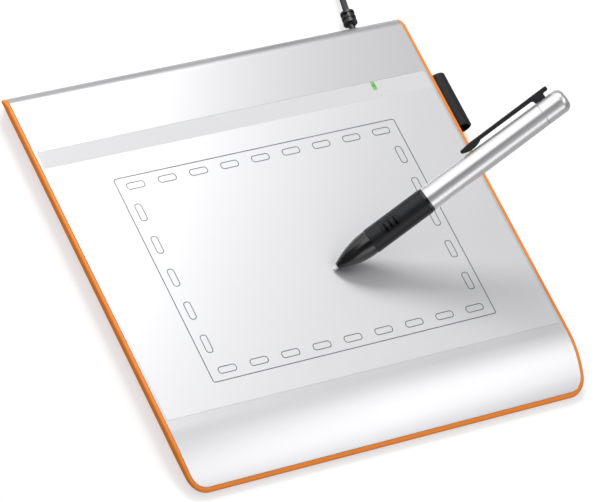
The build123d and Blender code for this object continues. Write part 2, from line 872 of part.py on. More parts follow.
# Screws that go in from below, feet and bare rating plate
head_z = foot_drop + screw_head_sink
with BuildPart() as case_screws:
    with BuildSketch(Plane.XY.offset(head_z)):
        with Locations(*screw_spots):
            Circle(screw_head_radius)
    extrude(amount=screw_head_height)
    with BuildSketch(Plane.XY.offset(seat_z)):
        with Locations(*screw_spots):
            Circle(screw_radius)
    extrude(amount=post_top + post_gap + screw_bite - seat_z)
    with BuildSketch(Plane.XY.offset(head_z)):
        with Locations(*screw_spots):
            Rectangle(cross_length, cross_width)
            Rectangle(cross_width, cross_length)
    extrude(amount=cross_depth, mode=Mode.SUBTRACT)
finish(case_screws.part, "case_screws")

with BuildPart() as rubber_feet:
    with BuildSketch():
        with Locations(*foot_spots):
            Circle(foot_radius)
    extrude(amount=foot_drop + foot_recess)
    chamfer(rubber_feet.edges().group_by(Axis.Z)[0], length=foot_drop / 2)
finish(rubber_feet.part, "rubber_feet")

with BuildPart() as rating_label:
    with BuildSketch(Plane.XY.offset(foot_drop + label_recess)):
        with Locations((label_x, label_y)):
            RectangleRounded(label_width, label_depth, label_corner)
    extrude(amount=-label_thickness)
finish(rating_label.part, "rating_label")

# Pen loop: one strip of webbing folded into a drop shape, with its end sewn round a rod
with BuildPart() as pen_loop:
    with BuildSketch(Plane.XZ.offset(-loop_y)):
        with Locations((loop_x, loop_axis_z)):
            Circle(loop_outer_radius)
        with Locations((half_width + loop_neck_out, loop_axis_z)):
            Circle(loop_tongue / 2)
        make_hull()
        with Locations(((bead_x + half_width + loop_neck_out) / 2, loop_axis_z)):
            Rectangle(half_width + loop_neck_out - bead_x, loop_tongue)
        with Locations((bead_x, loop_axis_z)):
            Circle(bead_radius)
            Circle(rod_radius + rod_clearance, mode=Mode.SUBTRACT)
        with Locations((loop_x, loop_axis_z)):
            Circle(loop_outer_radius - loop_web, mode=Mode.SUBTRACT)
    extrude(amount=loop_length / 2, both=True)
finish(pen_loop.part, "pen_loop")

with BuildPart() as loop_anchor:
    with BuildSketch(Plane.XZ.offset(-loop_y)):
        with Locations((bead_x, loop_axis_z)):
            Circle(rod_radius)
    extrude(amount=loop_length / 2 + cradle_gap + cradle_thickness, both=True)
finish(loop_anchor.part, "loop_anchor")


def route_radii(route):
    """Arc radius at each inner point of a lead's route: as large as its two runs allow."""
    radii = []
    for before, corner, after in zip(route, route[1:], route[2:]):
        run_in = Vector(corner) - Vector(before)
        run_out = Vector(after) - Vector(corner)
        half_turn = radians(run_in.get_angle(run_out)) / 2
        radii.append(route_share * min(run_in.length, run_out.length) / tan(half_turn))
    return radii


def curve_heading(curve, quarter):
    """Direction of a wound curve at a quarter turn."""
    return (curve(quarter + heading_step) - curve(quarter - heading_step)).normalized()


def wind(curve, quarters):
    """Draw a wound curve: each quarter turn is two arcs that meet in one tangent."""
    for quarter in range(quarters):
        start = curve(quarter)
        end = curve(quarter + 1)
        leaving = curve_heading(curve, quarter)
        arriving = curve_heading(curve, quarter + 1)
        chord = end - start
        along = chord.dot(leaving + arriving)
        spread = 2 * (1 - leaving.dot(arriving))
        reach = (sqrt(along**2 + spread * chord.dot(chord)) - along) / spread
        first = start + leaving * reach
        last = end - arriving * reach
        middle = (first + last) * 0.5
        TangentArc(start, middle, tangent=leaving)
        TangentArc(middle, end, tangent=last - first)


def report_tube(name, tube, path, radius):
    """Print a tube's length and how its volume compares with section times length."""
    length = sum(edge.length for edge in path.edges())
    share = tube.volume / (pi * radius**2 * length)
    print(name, "length", round(length, 1), "volume share", round(share, 4))


def least_gap(path, radius, apart):
    """Least clear gap of a wound tube to itself, measured on points of its middle line."""
    spots = [tuple(edge @ (step / 8)) for edge in path.edges() for step in range(8)]
    nearest = min(dist(a, b) for number, a in enumerate(spots) for b in spots[number + 8 * apart :])
    return nearest - 2 * radius


# Coil: layers that spiral in and out by turns, and climb where the spiral turns back
coil_low = tie_thickness + tie_gap + lead_radius
coil_outer_radius = coil_inner_radius + coil_quarters[0] * coil_pitch / 4


def coil_curve(quarter):
    """Middle line of the coil, counted in quarter turns from its right-hand side."""
    inward = 0
    height = coil_low
    begun = 0
    for layer, span in enumerate(coil_quarters):
        in_layer = min(max(quarter - begun, 0), span)
        inward += -in_layer if layer % 2 else in_layer
        if layer:
            climb = min(max((quarter - begun + 1) / 2, 0), 1)
            height += coil_pitch * (1 - cos(pi * climb)) / 2
        begun += span
    radius = coil_outer_radius - inward * coil_pitch / 4
    angle = quarter * pi / 2
    return Vector(coil_x + radius * cos(angle), coil_y + radius * sin(angle), height)


coil_end = sum(coil_quarters)
coil_arrival = curve_heading(coil_curve, 0)
coil_departure = curve_heading(coil_curve, coil_end)
coil_run_in = coil_curve(0) - coil_arrival * 2 * lead_radius
coil_run_out = coil_curve(coil_end) + coil_departure * 2 * lead_radius
with BuildPart() as lead_coil:
    with BuildLine() as coil_path:
        Line(coil_run_in, coil_curve(0))
        wind(coil_curve, coil_end)
        Line(coil_curve(coil_end), coil_run_out)
    with BuildSketch(Plane(origin=coil_run_in, z_dir=coil_arrival)):
        Circle(lead_radius)
    sweep()
finish(lead_coil.part, "lead_coil")
report_tube("lead_coil", lead_coil.part, coil_path, lead_radius)
print("lead_coil least gap to itself", round(least_gap(coil_path, lead_radius, 6), 3))

# Lead from the strain relief, down to the floor and to the coil
lead_route = [
    relief_end,
    relief_end + relief_dir * lead_run_out,
    *lead_points,
    coil_run_in - coil_arrival * lead_run_in,
    coil_run_in,
]
with BuildPart() as usb_lead:
    with BuildLine() as lead_path:
        FilletPolyline(*lead_route, radius=route_radii(lead_route))
    with BuildSketch(Plane(origin=relief_end, z_dir=relief_dir)):
        Circle(lead_radius)
    sweep()
finish(usb_lead.part, "usb_lead")
report_tube("usb_lead", usb_lead.part, lead_path, lead_radius)
print("usb_lead arc radii", [round(radius, 1) for radius in route_radii(lead_route)])

# Lead from the coil to the plug that lies beside it
plug_y = coil_run_out.Y
tail_route = [
    coil_run_out,
    coil_run_out + coil_departure * tail_run_out,
    *tail_points,
    (plug_x + tail_run_in, plug_y, plug_axis_z),
    (plug_x, plug_y, plug_axis_z),
]
with BuildPart() as lead_tail:
    with BuildLine() as tail_path:
        FilletPolyline(*tail_route, radius=route_radii(tail_route))
    with BuildSketch(Plane(origin=coil_run_out, z_dir=coil_departure)):
        Circle(lead_radius)
    sweep()
finish(lead_tail.part, "lead_tail")
report_tube("lead_tail", lead_tail.part, tail_path, lead_radius)
print("lead_tail arc radii", [round(radius, 1) for radius in route_radii(tail_route)])

# Tie round the coil's left-hand side
tie_outer_x = coil_x - (coil_outer_radius - coil_pitch / 2) - lead_radius - tie_slack
tie_inner_x = coil_x - coil_inner_radius + lead_radius + tie_slack
tie_high = coil_low + (len(coil_quarters) - 1) * coil_pitch + lead_radius + tie_gap
with BuildPart() as lead_tie:
    with BuildSketch(Plane.XZ.offset(-coil_y)):
        with Locations(((tie_outer_x + tie_inner_x) / 2, (tie_thickness + tie_high) / 2)):
            hole_width = tie_inner_x - tie_outer_x
            hole_height = tie_high - tie_thickness
            tie_round = lead_radius + tie_thickness
            RectangleRounded(hole_width + 2 * tie_thickness, hole_height + 2 * tie_thickness, tie_round)
            RectangleRounded(hole_width, hole_height, lead_radius, mode=Mode.SUBTRACT)
    extrude(amount=tie_width / 2, both=True)
finish(lead_tie.part, "lead_tie")

# Plug: ribbed boot and moulded grip in one, metal shell, tongue and contacts
plug_face = Plane(origin=(plug_x, plug_y, plug_axis_z), x_dir=(0, 1, 0), z_dir=(-1, 0, 0))
body_face = plug_face.offset(plug_boot_length)
front_face = body_face.offset(plug_length)
plug_height = 2 * plug_axis_z
with BuildPart() as plug_overmould:
    with BuildSketch(plug_face):
        Circle(plug_boot_radius)
    with BuildSketch(body_face):
        Circle(plug_boot_base)
    loft()
    for number in range(boot_ring_count):
        with BuildSketch(plug_face.offset((number + 0.5) * plug_boot_length / boot_ring_count)):
            Circle(plug_boot_base)
            Circle(plug_boot_radius - boot_ring_depth, mode=Mode.SUBTRACT)
        extrude(amount=boot_ring_width, mode=Mode.SUBTRACT)
    with BuildSketch(body_face):
        RectangleRounded(plug_width, plug_height, plug_edge)
    extrude(amount=plug_length)
    for side in (1, -1):
        with BuildSketch(body_face.offset(plug_length / 2)):
            with Locations((side * (plug_width / 2 + grip_scoop_radius - grip_scoop_depth), 0)):
                Circle(grip_scoop_radius)
        extrude(amount=plug_length / 4, both=True, mode=Mode.SUBTRACT)
    with BuildSketch(front_face):
        Rectangle(shell_width, shell_height)
    extrude(amount=-shell_root, mode=Mode.SUBTRACT)
finish(plug_overmould.part, "plug_overmould")

shell_start = front_face.offset(-shell_root)
with BuildPart() as plug_shell:
    with BuildSketch(shell_start):
        RectangleRounded(shell_width, shell_height, shell_wall)
        Rectangle(shell_width - 2 * shell_wall, shell_height - 2 * shell_wall, mode=Mode.SUBTRACT)
    extrude(amount=shell_length + shell_root)
    with BuildSketch(Plane.XY.offset(plug_axis_z)):
        with Locations((front_face.origin.X - window_distance, plug_y)):
            with GridLocations(0, window_spread, 1, 2):
                Rectangle(window_size, window_size)
    extrude(amount=shell_height, both=True, mode=Mode.SUBTRACT)
finish(plug_shell.part, "plug_shell")

tongue_level = shell_height / 2 - shell_wall - tongue_height / 2
with BuildPart() as plug_tongue:
    with BuildSketch(shell_start):
        with Locations((0, tongue_level)):
            Rectangle(tongue_width, tongue_height)
    extrude(amount=shell_length + shell_root - tongue_inset)
finish(plug_tongue.part, "plug_tongue")

with BuildPart() as plug_contacts:
    with BuildSketch(front_face):
        with Locations((0, tongue_level - tongue_height / 2 - contact_height / 2)):
            with GridLocations(contact_pitch, 0, 4, 1):
                Rectangle(contact_width, contact_height)
    extrude(amount=shell_length - 2 * tongue_inset)
finish(plug_contacts.part, "plug_contacts")

# Pen: all its pieces stand on one axis, with the clip's side as the first direction
turn = radians(pen_turn)
rise = radians(pen_rise)
roll = radians(pen_roll)
nib_z = top_z + nib_gap + nib_radius * (1 - sin(rise))
nib_tip = Vector(nib_x, nib_y, nib_z)
pen_dir = Vector(cos(rise) * cos(turn), cos(rise) * sin(turn), sin(rise))
pen_level = Vector(-sin(turn), cos(turn), 0)
clip_dir = pen_level * cos(roll) + pen_dir.cross(pen_level) * sin(roll)
pen = Plane(origin=nib_tip, x_dir=clip_dir, z_dir=pen_dir)
pen_section = Plane(origin=nib_tip, x_dir=clip_dir, z_dir=clip_dir.cross(pen_dir))
clip_face = Plane(origin=nib_tip, x_dir=pen_dir, z_dir=clip_dir)
pen_axis = Axis(nib_tip, pen_dir)
key_angle = radians(rocker_turn)
key_dir = pen_dir.cross(clip_dir) * cos(key_angle) + clip_dir * sin(key_angle)
key_face = Plane(origin=nib_tip, x_dir=pen_dir, z_dir=key_dir)
nose_end = nib_reach + nose_length
grip_end = nose_end + grip_length
collar_end = grip_end + collar_length
barrel_end = collar_end + barrel_length
pen_length = barrel_end + cap_length
barrel_bore = barrel_rear_radius - barrel_wall
spigot_radius = barrel_bore - fit_gap
spigot_end = collar_end + spigot_length
cap_spigot_start = barrel_end - cap_spigot_length

with BuildPart() as nib:
    with BuildSketch(pen_section):
        with BuildLine():
            RadiusArc((0, 0), (nib_radius, nib_radius), -nib_radius)
            Polyline((nib_radius, nib_radius), (nib_radius, nib_length), (0, nib_length), (0, 0))
        make_face()
    revolve(axis=pen_axis)
finish(nib.part, "nib")

holder_start = nib_length - holder_overlap
holder_end = holder_start + holder_length
with BuildPart() as nib_holder:
    with BuildSketch(pen.offset(holder_start)):
        Circle(holder_radius)
    extrude(amount=holder_length)
    with BuildSketch(pen.offset(holder_start)):
        Circle(nib_radius)
    extrude(amount=holder_overlap, mode=Mode.SUBTRACT)
finish(nib_holder.part, "nib_holder")

sensor_start = holder_end + press_travel + press_gap
with BuildPart() as pressure_sensor:
    with BuildSketch(pen.offset(sensor_start)):
        Circle(sensor_radius)
    extrude(amount=sensor_length)
    chamfer(pressure_sensor.edges().group_by(pen_axis)[0], length=sensor_length / 8)
finish(pressure_sensor.part, "pressure_sensor")

with BuildPart() as ferrite_core:
    with BuildSketch(pen.offset(ferrite_start)):
        Circle(ferrite_radius)
        Circle(ferrite_bore, mode=Mode.SUBTRACT)
    extrude(amount=ferrite_length)
finish(ferrite_core.part, "ferrite_core")

with BuildPart() as pickup_coil:
    with BuildSketch(pen.offset(ferrite_start + (ferrite_length - winding_length) / 2)):
        Circle(ferrite_radius + winding_gap + winding_thickness)
        Circle(ferrite_radius + winding_gap, mode=Mode.SUBTRACT)
    extrude(amount=winding_length)
finish(pickup_coil.part, "pickup_coil")

# Opening for the side switch, shared by the core and the grip
with BuildPart() as key_opening:
    with BuildSketch(key_face.offset(rocker_inner - switch_gap)):
        with Locations((rocker_centre, 0)):
            opening_length = rocker_length + 2 * rocker_gap
            opening_width = rocker_width + 2 * rocker_gap
            RectangleRounded(opening_length, opening_width, rocker_corner + rocker_gap)
    extrude(amount=grip_radius)

with BuildPart() as pen_nose:
    with BuildSketch(pen_section) as nose_profile:
        with BuildLine():
            tip_bore = nib_radius + nib_clearance
            bulge = (nose_mid_radius, nib_reach + nose_mid_length)
            nose = ThreePointArc((nose_tip_radius, nib_reach), bulge, (nose_base_radius, nose_end))
            Polyline(
                nose @ 1,
                (core_radius, nose_end),
                (core_radius, grip_end),
                (collar_radius, grip_end),
                (collar_radius, collar_end),
                (spigot_radius, collar_end),
                (spigot_radius, spigot_end),
                (core_bore, spigot_end),
                (core_bore, nose_end),
                (nose_bore, nose_end),
                (nose_bore, nose_bore_start),
                (tip_bore, nose_bore_start),
                (tip_bore, nib_reach),
                nose @ 0,
            )
        make_face()
        front_corner = nose_profile.vertices().sort_by_distance((nose_tip_radius, nib_reach, 0))[0]
        fillet(front_corner, radius=nose_tip_round)
    revolve(axis=pen_axis)
    add(key_opening.part, mode=Mode.SUBTRACT)
    with BuildSketch(key_face.offset(trunnion_level)):
        with Locations((rocker_centre, 0)):
            bearing_width = rocker_width + 2 * (trunnion_reach + trunnion_clearance)
            Rectangle(2 * (trunnion_radius + trunnion_clearance), bearing_width)
    extrude(amount=trunnion_level, mode=Mode.SUBTRACT)
    with BuildSketch(Plane(origin=nib_tip, x_dir=pen_dir, z_dir=pen_dir.cross(key_dir))):
        with Locations((rocker_centre, trunnion_level)):
            Circle(trunnion_radius + trunnion_clearance)
    extrude(amount=bearing_width / 2, both=True, mode=Mode.SUBTRACT)
finish(pen_nose.part, "pen_nose")

with BuildPart() as pen_grip:
    with BuildSketch(pen.offset(nose_end + fit_gap)):
        Circle(grip_radius)
        Circle(core_radius + fit_gap, mode=Mode.SUBTRACT)
    extrude(amount=grip_length - 2 * fit_gap)
    grip_circles = pen_grip.edges().filter_by(GeomType.CIRCLE)
    grip_rims = grip_circles.filter_by(lambda edge: edge.radius > core_radius + 2 * fit_gap)
    fillet(grip_rims, radius=grip_end_round)
    add(key_opening.part, mode=Mode.SUBTRACT)
finish(pen_grip.part, "pen_grip")

with BuildPart() as side_ridges:
    with BuildSketch(key_face.offset(core_radius)):
        with Locations((rocker_centre, 0)):
            with GridLocations(ridge_pitch, 0, ridge_count, 1):
                SlotOverall(ridge_length, ridge_width, rotation=90)
    extrude(amount=grip_radius)
    with BuildSketch(pen):
        Circle(grip_radius + ridge_proud)
    extrude(amount=pen_length, mode=Mode.INTERSECT)

with BuildPart() as side_switch:
    with BuildSketch(key_face.offset(rocker_inner)):
        with Locations((rocker_centre, 0)):
            RectangleRounded(rocker_length, rocker_width, rocker_corner)
    extrude(amount=grip_radius)
    with BuildSketch(pen):
        Circle(grip_radius)
    extrude(amount=pen_length, mode=Mode.INTERSECT)
    with BuildSketch(key_face.offset(rocker_inner)):
        with Locations((rocker_centre, 0)):
            with GridLocations(2 * foot_spread, 0, 2, 1):
                Rectangle(foot_size, foot_size)
    extrude(amount=-(rocker_inner - pen_board_level - switch_height - plunger_height - switch_gap))
    with BuildSketch(Plane(origin=nib_tip, x_dir=pen_dir, z_dir=pen_dir.cross(key_dir))):
        with Locations((rocker_centre, trunnion_level)):
            Circle(trunnion_radius)
    extrude(amount=rocker_width / 2 + trunnion_reach, both=True)
    add(side_ridges.part)
finish(side_switch.part, "side_switch")

with BuildPart() as pen_board:
    with BuildSketch(key_face.offset(pen_board_level)):
        with Locations((pen_board_start + pen_board_length / 2, 0)):
            Rectangle(pen_board_length, pen_board_width)
    extrude(amount=-pen_board_thickness)
finish(pen_board.part, "pen_board")

with BuildPart() as tact_switches:
    with BuildSketch(key_face.offset(pen_board_level)):
        with Locations((rocker_centre, 0)):
            with GridLocations(2 * foot_spread, 0, 2, 1):
                Rectangle(switch_size, switch_size)
    extrude(amount=switch_height)
    with BuildSketch(key_face.offset(pen_board_level + switch_height)):
        with Locations((rocker_centre, 0)):
            with GridLocations(2 * foot_spread, 0, 2, 1):
                Circle(plunger_radius)
    extrude(amount=plunger_height)
finish(tact_switches.part, "tact_switches")

with BuildPart() as front_contact:
    with BuildSketch(pen.offset(spigot_end + contact_gap)):
        Circle(battery_radius)
    extrude(amount=contact_thickness)
    with BuildSketch(pen.offset(spigot_end + contact_gap)):
        Rectangle(battery_nub_radius, contact_thickness)
    extrude(amount=-(spigot_end - pen_board_start - pen_board_length))
finish(front_contact.part, "front_contact")

battery_start = spigot_end + contact_thickness + 2 * contact_gap
battery_end = battery_start + battery_length
with BuildPart() as battery:
    with BuildSketch(pen.offset(battery_start)):
        Circle(battery_nub_radius)
    extrude(amount=battery_nub_height)
    with BuildSketch(pen.offset(battery_start + battery_nub_height)):
        Circle(battery_radius)
    extrude(amount=battery_length - battery_nub_height)
    chamfer(battery.edges().group_by(pen_axis)[-1], length=contact_thickness / 2)
finish(battery.part, "battery")

spring_start = battery_end + contact_gap + spring_wire
spring_rise = barrel_end - contact_gap - spring_wire - spring_start


def spring_curve(quarter):
    """Middle line of the battery spring, counted in quarter turns from the battery."""
    angle = quarter * pi / 2
    along = spring_start + spring_rise * quarter / (4 * spring_turns)
    return pen.from_local_coords(Vector(spring_radius * cos(angle), spring_radius * sin(angle), along))


with BuildPart() as battery_spring:
    with BuildLine() as spring_path:
        wind(spring_curve, 4 * spring_turns)
    with BuildSketch(Plane(origin=spring_curve(0), z_dir=curve_heading(spring_curve, 0))):
        Circle(spring_wire)
    sweep()
finish(battery_spring.part, "battery_spring")
report_tube("battery_spring", battery_spring.part, spring_path, spring_wire)

with BuildPart() as pen_barrel:
    with BuildSketch(pen_section) as barrel_profile:
        with BuildLine():
            Polyline(
                (barrel_bore, collar_end + fit_gap),
                (barrel_front_radius, collar_end + fit_gap),
                (barrel_rear_radius, barrel_end - fit_gap),
                (barrel_bore, barrel_end - fit_gap),
                close=True,
            )
        make_face()
        chamfer(barrel_profile.vertices(), length=barrel_edge)
    revolve(axis=pen_axis)
finish(pen_barrel.part, "pen_barrel")

groove_radius = barrel_bore - seal_squeeze - 2 * seal_radius
seal_along = barrel_end - seal_position
tenon_along = (clip_base_front + clip_base_back) / 2
with BuildPart() as pen_cap:
    with BuildSketch(pen_section) as cap_profile:
        with BuildLine():
            Polyline(
                (0, barrel_end),
                (cap_bore, barrel_end),
                (cap_bore, cap_spigot_start),
                (spigot_radius, cap_spigot_start),
                (spigot_radius, seal_along - seal_radius),
                (groove_radius, seal_along - seal_radius),
                (groove_radius, seal_along + seal_radius),
                (spigot_radius, seal_along + seal_radius),
                (spigot_radius, barrel_end + fit_gap),
                (barrel_rear_radius, barrel_end + fit_gap),
                (barrel_rear_radius, pen_length),
                (0, pen_length),
                close=True,
            )
        make_face()
        end_corner = cap_profile.vertices().sort_by_distance((barrel_rear_radius, pen_length, 0))[0]
        fillet(end_corner, radius=cap_end_round)
        seam_place = (barrel_rear_radius, barrel_end + fit_gap, 0)
        seam_corner = cap_profile.vertices().sort_by_distance(seam_place)[0]
        chamfer(seam_corner, length=barrel_edge)
    revolve(axis=pen_axis)
    with BuildSketch(clip_face.offset(barrel_rear_radius - tenon_depth - tenon_clearance)):
        with Locations((tenon_along, 0)):
            Rectangle(tenon_length + 2 * tenon_clearance, tenon_width + 2 * tenon_clearance)
    extrude(amount=barrel_rear_radius, mode=Mode.SUBTRACT)
finish(pen_cap.part, "pen_cap")

with BuildPart() as cap_seal:
    with BuildSketch(pen_section):
        with Locations((groove_radius + seal_radius, seal_along)):
            Circle(seal_radius - seal_squeeze)
    revolve(axis=pen_axis)
finish(cap_seal.part, "cap_seal")

# Clip: pad bowed towards the barrel, straight arm, root block with a hollow fillet, short tail
pad_level = barrel_front_radius + clip_lift
pad_reach = clip_pad - clip_tip
with BuildPart() as pen_clip:
    with BuildSketch(pen_section) as clip_profile:
        with BuildLine():
            belly = ThreePointArc(
                (clip_inner, clip_tip),
                (pad_level, clip_pad),
                (clip_inner, clip_pad + pad_reach),
            )
            Polyline(
                belly @ 1,
                (clip_inner, clip_base_front),
                (core_radius, clip_base_front),
                (core_radius, clip_base_back),
                (clip_inner, clip_base_back),
                (clip_inner, clip_end),
                (clip_outer, clip_end),
                (clip_pad_outer, clip_pad),
                (clip_inner + clip_tip_width, clip_tip),
                belly @ 0,
            )
        make_face()
        corners = [
            ((clip_inner, clip_base_front), clip_fillet),
            ((clip_inner, clip_base_back), clip_fillet / 3),
            ((clip_inner, clip_end), clip_fillet / 2),
            ((clip_outer, clip_end), clip_fillet / 2),
            ((clip_pad_outer, clip_pad), clip_pad_round),
            ((clip_inner + clip_tip_width, clip_tip), clip_tip_round),
            ((clip_inner, clip_tip), clip_tip_round),
        ]
        for corner, radius in corners:
            fillet(clip_profile.vertices().sort_by_distance((*corner, 0))[0], radius=radius)
    extrude(amount=clip_width / 2, both=True)
    clip_sides = pen_clip.faces().filter_by(pen_section)
    fillet(clip_sides.edges(), radius=clip_edge_round)
    with BuildSketch(pen.offset(barrel_end)):
        Circle(barrel_rear_radius + clip_base_lift)
    extrude(amount=cap_length, mode=Mode.SUBTRACT)
    with BuildSketch(clip_face.offset(barrel_rear_radius - tenon_depth)):
        with Locations((tenon_along, 0)):
            Rectangle(tenon_length, tenon_width)
    extrude(amount=tenon_depth + 2 * clip_base_lift)
finish(pen_clip.part, "pen_clip")
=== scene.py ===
# %% [markdown]
# # A graphics tablet with its cordless pen
#
# The tablet is a thin silver cover on a bright orange tray. A printed film lies in the cover, a loop of
# black webbing on the right side holds the pen, and a thin lead leaves the back. The pen stands on the
# film as in the hand of somebody who draws. Almost every rigid piece already comes from the CAD model,
# so this lesson gives each of them its finish, and models what a solid can't show: the lead as one
# smooth curve, the woven loop and the print on the film.

# %% Load the frame
from math import asin, cos, pi, radians, sin

import bpy
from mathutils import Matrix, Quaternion, Vector


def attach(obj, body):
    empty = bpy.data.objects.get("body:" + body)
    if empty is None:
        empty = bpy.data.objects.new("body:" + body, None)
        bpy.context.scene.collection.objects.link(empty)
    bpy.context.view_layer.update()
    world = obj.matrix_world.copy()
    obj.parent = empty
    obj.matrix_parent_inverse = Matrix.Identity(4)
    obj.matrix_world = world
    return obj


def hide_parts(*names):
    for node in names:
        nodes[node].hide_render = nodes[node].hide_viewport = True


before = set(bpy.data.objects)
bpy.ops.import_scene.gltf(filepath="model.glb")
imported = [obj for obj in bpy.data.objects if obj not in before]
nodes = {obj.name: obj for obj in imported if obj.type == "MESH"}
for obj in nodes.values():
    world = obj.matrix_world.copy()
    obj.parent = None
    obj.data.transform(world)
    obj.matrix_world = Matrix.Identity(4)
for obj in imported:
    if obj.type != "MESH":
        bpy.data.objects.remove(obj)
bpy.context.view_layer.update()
mm = 0.001
print("pieces from the CAD model:", len(nodes))

# %% [markdown]
# ## Camera
#
# The picture was taken from the front left, from high up and far away, with the camera tipped to one
# side. A long lens gives the weak perspective. The aim point lies on the drawing surface, and the roll is
# a turn about the line of sight, so place, aim and roll can be changed one at a time.

# %% Camera
camera_place = Vector((-925.50, -724.36, 1441.03)) * mm
camera_aim = Vector((-4.044, -4.938, 10.0)) * mm
camera_roll = radians(31.676)
camera_lens = 266.96
sensor_width = 36.0

camera_data = bpy.data.cameras.new("camera")
camera_data.lens = camera_lens
camera_data.sensor_width = sensor_width
camera_data.clip_end = 20
camera = bpy.data.objects.new("camera", camera_data)
camera.location = camera_place
camera.rotation_mode = "QUATERNION"
line_of_sight = (camera_aim - camera_place).to_track_quat("-Z", "Y")
camera.rotation_quaternion = line_of_sight @ Quaternion((0, 0, 1), camera_roll)
bpy.context.scene.collection.objects.link(camera)
bpy.context.scene.camera = camera
bpy.context.scene.view_settings.view_transform = "Standard"
print("camera to tablet:", round((camera_aim - camera_place).length, 3), "m")

# %% [markdown]
# ## The lead
#
# A thin round lead leaves the strain relief, comes down to the table in a few centimetres and is wound
# into a neat coil of four layers, as it comes out of its box. It ends in a plug beside the coil. It could
# be a mesh tube, but a curve keeps it one unbroken line of one thickness. The few points between the
# relief and the coil are listed, and a loop works out the turns. A smooth spline passes inside
# its points, so the turns are drawn a little wide and come back to size.

# %% The line of the lead
lead_thickness = 2.8
lead_exit = (77.633, 105.217, 5.7)
lead_to_coil = [lead_exit, (79.143, 113.785, 5.7), (81.3, 122.8, 4.8), (84.0, 131.6, 3.1),
                (85.939, 141.101, 2.35), (85.833, 150.2, 2.35)]
lead_to_plug = [(60.45, 174.759, 12.25), (53.95, 174.838, 12.25), (47.3, 175.2, 11.0),
                (41.0, 175.4, 8.0), (35.3, 175.2, 5.0), (28.8, 174.759, 3.9), (24.0, 174.759, 3.9)]
coil_x, coil_y = 63.25, 153.0
coil_outer_radius = 22.55
coil_pitch = 3.3
coil_low = 2.35
coil_quarters = (14, 13, 13, 13)
points_per_turn = 16
spline_shrink = 0.75 + 0.25 * cos(2 * pi / points_per_turn)


def coil_point(quarter):
    """Middle of the lead, counted in quarter turns from the right-hand side of the coil."""
    inward = 0
    height = coil_low
    begun = 0
    for layer, span in enumerate(coil_quarters):
        in_layer = min(max(quarter - begun, 0), span)
        inward += -in_layer if layer % 2 else in_layer
        if layer:
            climb = min(max((quarter - begun + 1) / 2, 0), 1)
            height += coil_pitch * (1 - cos(pi * climb)) / 2
        begun += span
    radius = coil_outer_radius - inward * coil_pitch / 4
    if 0 < quarter < sum(coil_quarters):
        radius /= spline_shrink
    angle = quarter * pi / 2
    return (coil_x + radius * cos(angle), coil_y + radius * sin(angle), height)


steps = sum(coil_quarters) * points_per_turn // 4
coil_points = [coil_point(4 * step / points_per_turn) for step in range(steps + 1)]
lead_points = [Vector(place) * mm for place in lead_to_coil + coil_points + lead_to_plug]
print("points along the lead:", len(lead_points), "turns of the coil:", sum(coil_quarters) / 4)

# %% [markdown]
# A curve's thickness is its bevel depth times the radius of each point. The usual way is a radius of 1 and
# the depth in metres, but Blender's box round a curve reaches out by the bare radius of its points, a
# metre each way. So here the points carry the radius and the depth is 1, which gives the same lead.

# %% The lead as a curve
lead_curve = bpy.data.curves.new("usb_cable", "CURVE")
lead_curve.dimensions = "3D"
lead_line = lead_curve.splines.new("NURBS")
lead_line.points.add(len(lead_points) - 1)
for point, place in zip(lead_line.points, lead_points):
    point.co = (*place, 1)
    point.radius = lead_thickness / 2 * mm
lead_line.order_u = 3
lead_line.use_endpoint_u = True
lead_line.resolution_u = 5
lead_curve.bevel_depth = 1.0
lead_curve.bevel_resolution = 4
lead_curve.use_fill_caps = True
lead = bpy.data.objects.new("usb_cable", lead_curve)
bpy.context.scene.collection.objects.link(lead)
print("lead:", round(lead_line.calc_length(), 3), "m long")

# %% [markdown]
# The curve stands for three solids: the free stretch, the coil and the tail. The tie and the pieces of the
# plug stay as they are and count as parts of the lead.

# %% What the lead stands for
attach(lead, "tablet")
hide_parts("usb_lead", "lead_coil", "lead_tail")

# %% [markdown]
# ## A small language for shaders
#
# A finish is a graph of nodes, and a graph that is written link by link is hard to read. One small class
# wraps the output of a node, so that sums on it read as sums and add their own Math nodes. One function
# adds every other kind of node: its settings first, because they can change which sockets it has, and
# then what goes into the sockets.

# %% Arithmetic on sockets


class Wire:
    """The output of a node. Arithmetic on wires adds the Math nodes that it needs."""

    def __init__(self, tree, socket):
        self.tree = tree
        self.socket = socket

    def maths(self, operation, *values):
        node = self.tree.nodes.new("ShaderNodeMath")
        node.operation = operation
        for socket, value in zip(node.inputs, values):
            connect(self.tree, socket, value)
        return Wire(self.tree, node.outputs[0])

    def __add__(self, other):
        return self.maths("ADD", self, other)

    def __sub__(self, other):
        return self.maths("SUBTRACT", self, other)

    def __rsub__(self, other):
        return self.maths("SUBTRACT", other, self)

    def __mul__(self, other):
        return self.maths("MULTIPLY", self, other)

    def __truediv__(self, other):
        return self.maths("DIVIDE", self, other)

    def __gt__(self, other):
        return self.maths("GREATER_THAN", self, other)

    def __lt__(self, other):
        return self.maths("LESS_THAN", self, other)

    __radd__ = __add__
    __rmul__ = __mul__


# %% Sockets and nodes
def connect(tree, socket, value):
    """Give a socket a link, if the value is a wire, or else a plain value."""
    if isinstance(value, Wire):
        tree.links.new(value.socket, socket)
    elif socket.type == "RGBA" and len(value) == 3:
        socket.default_value = (*value, 1)
    else:
        socket.default_value = value


def set_stops(ramp, stops):
    """Place the grey levels of a ramp: a list of positions, each with its level."""
    while len(ramp.elements) < len(stops):
        ramp.elements.new(1)
    for element, (position, level) in zip(ramp.elements, stops):
        element.position = position
        element.color = (level, level, level, 1)


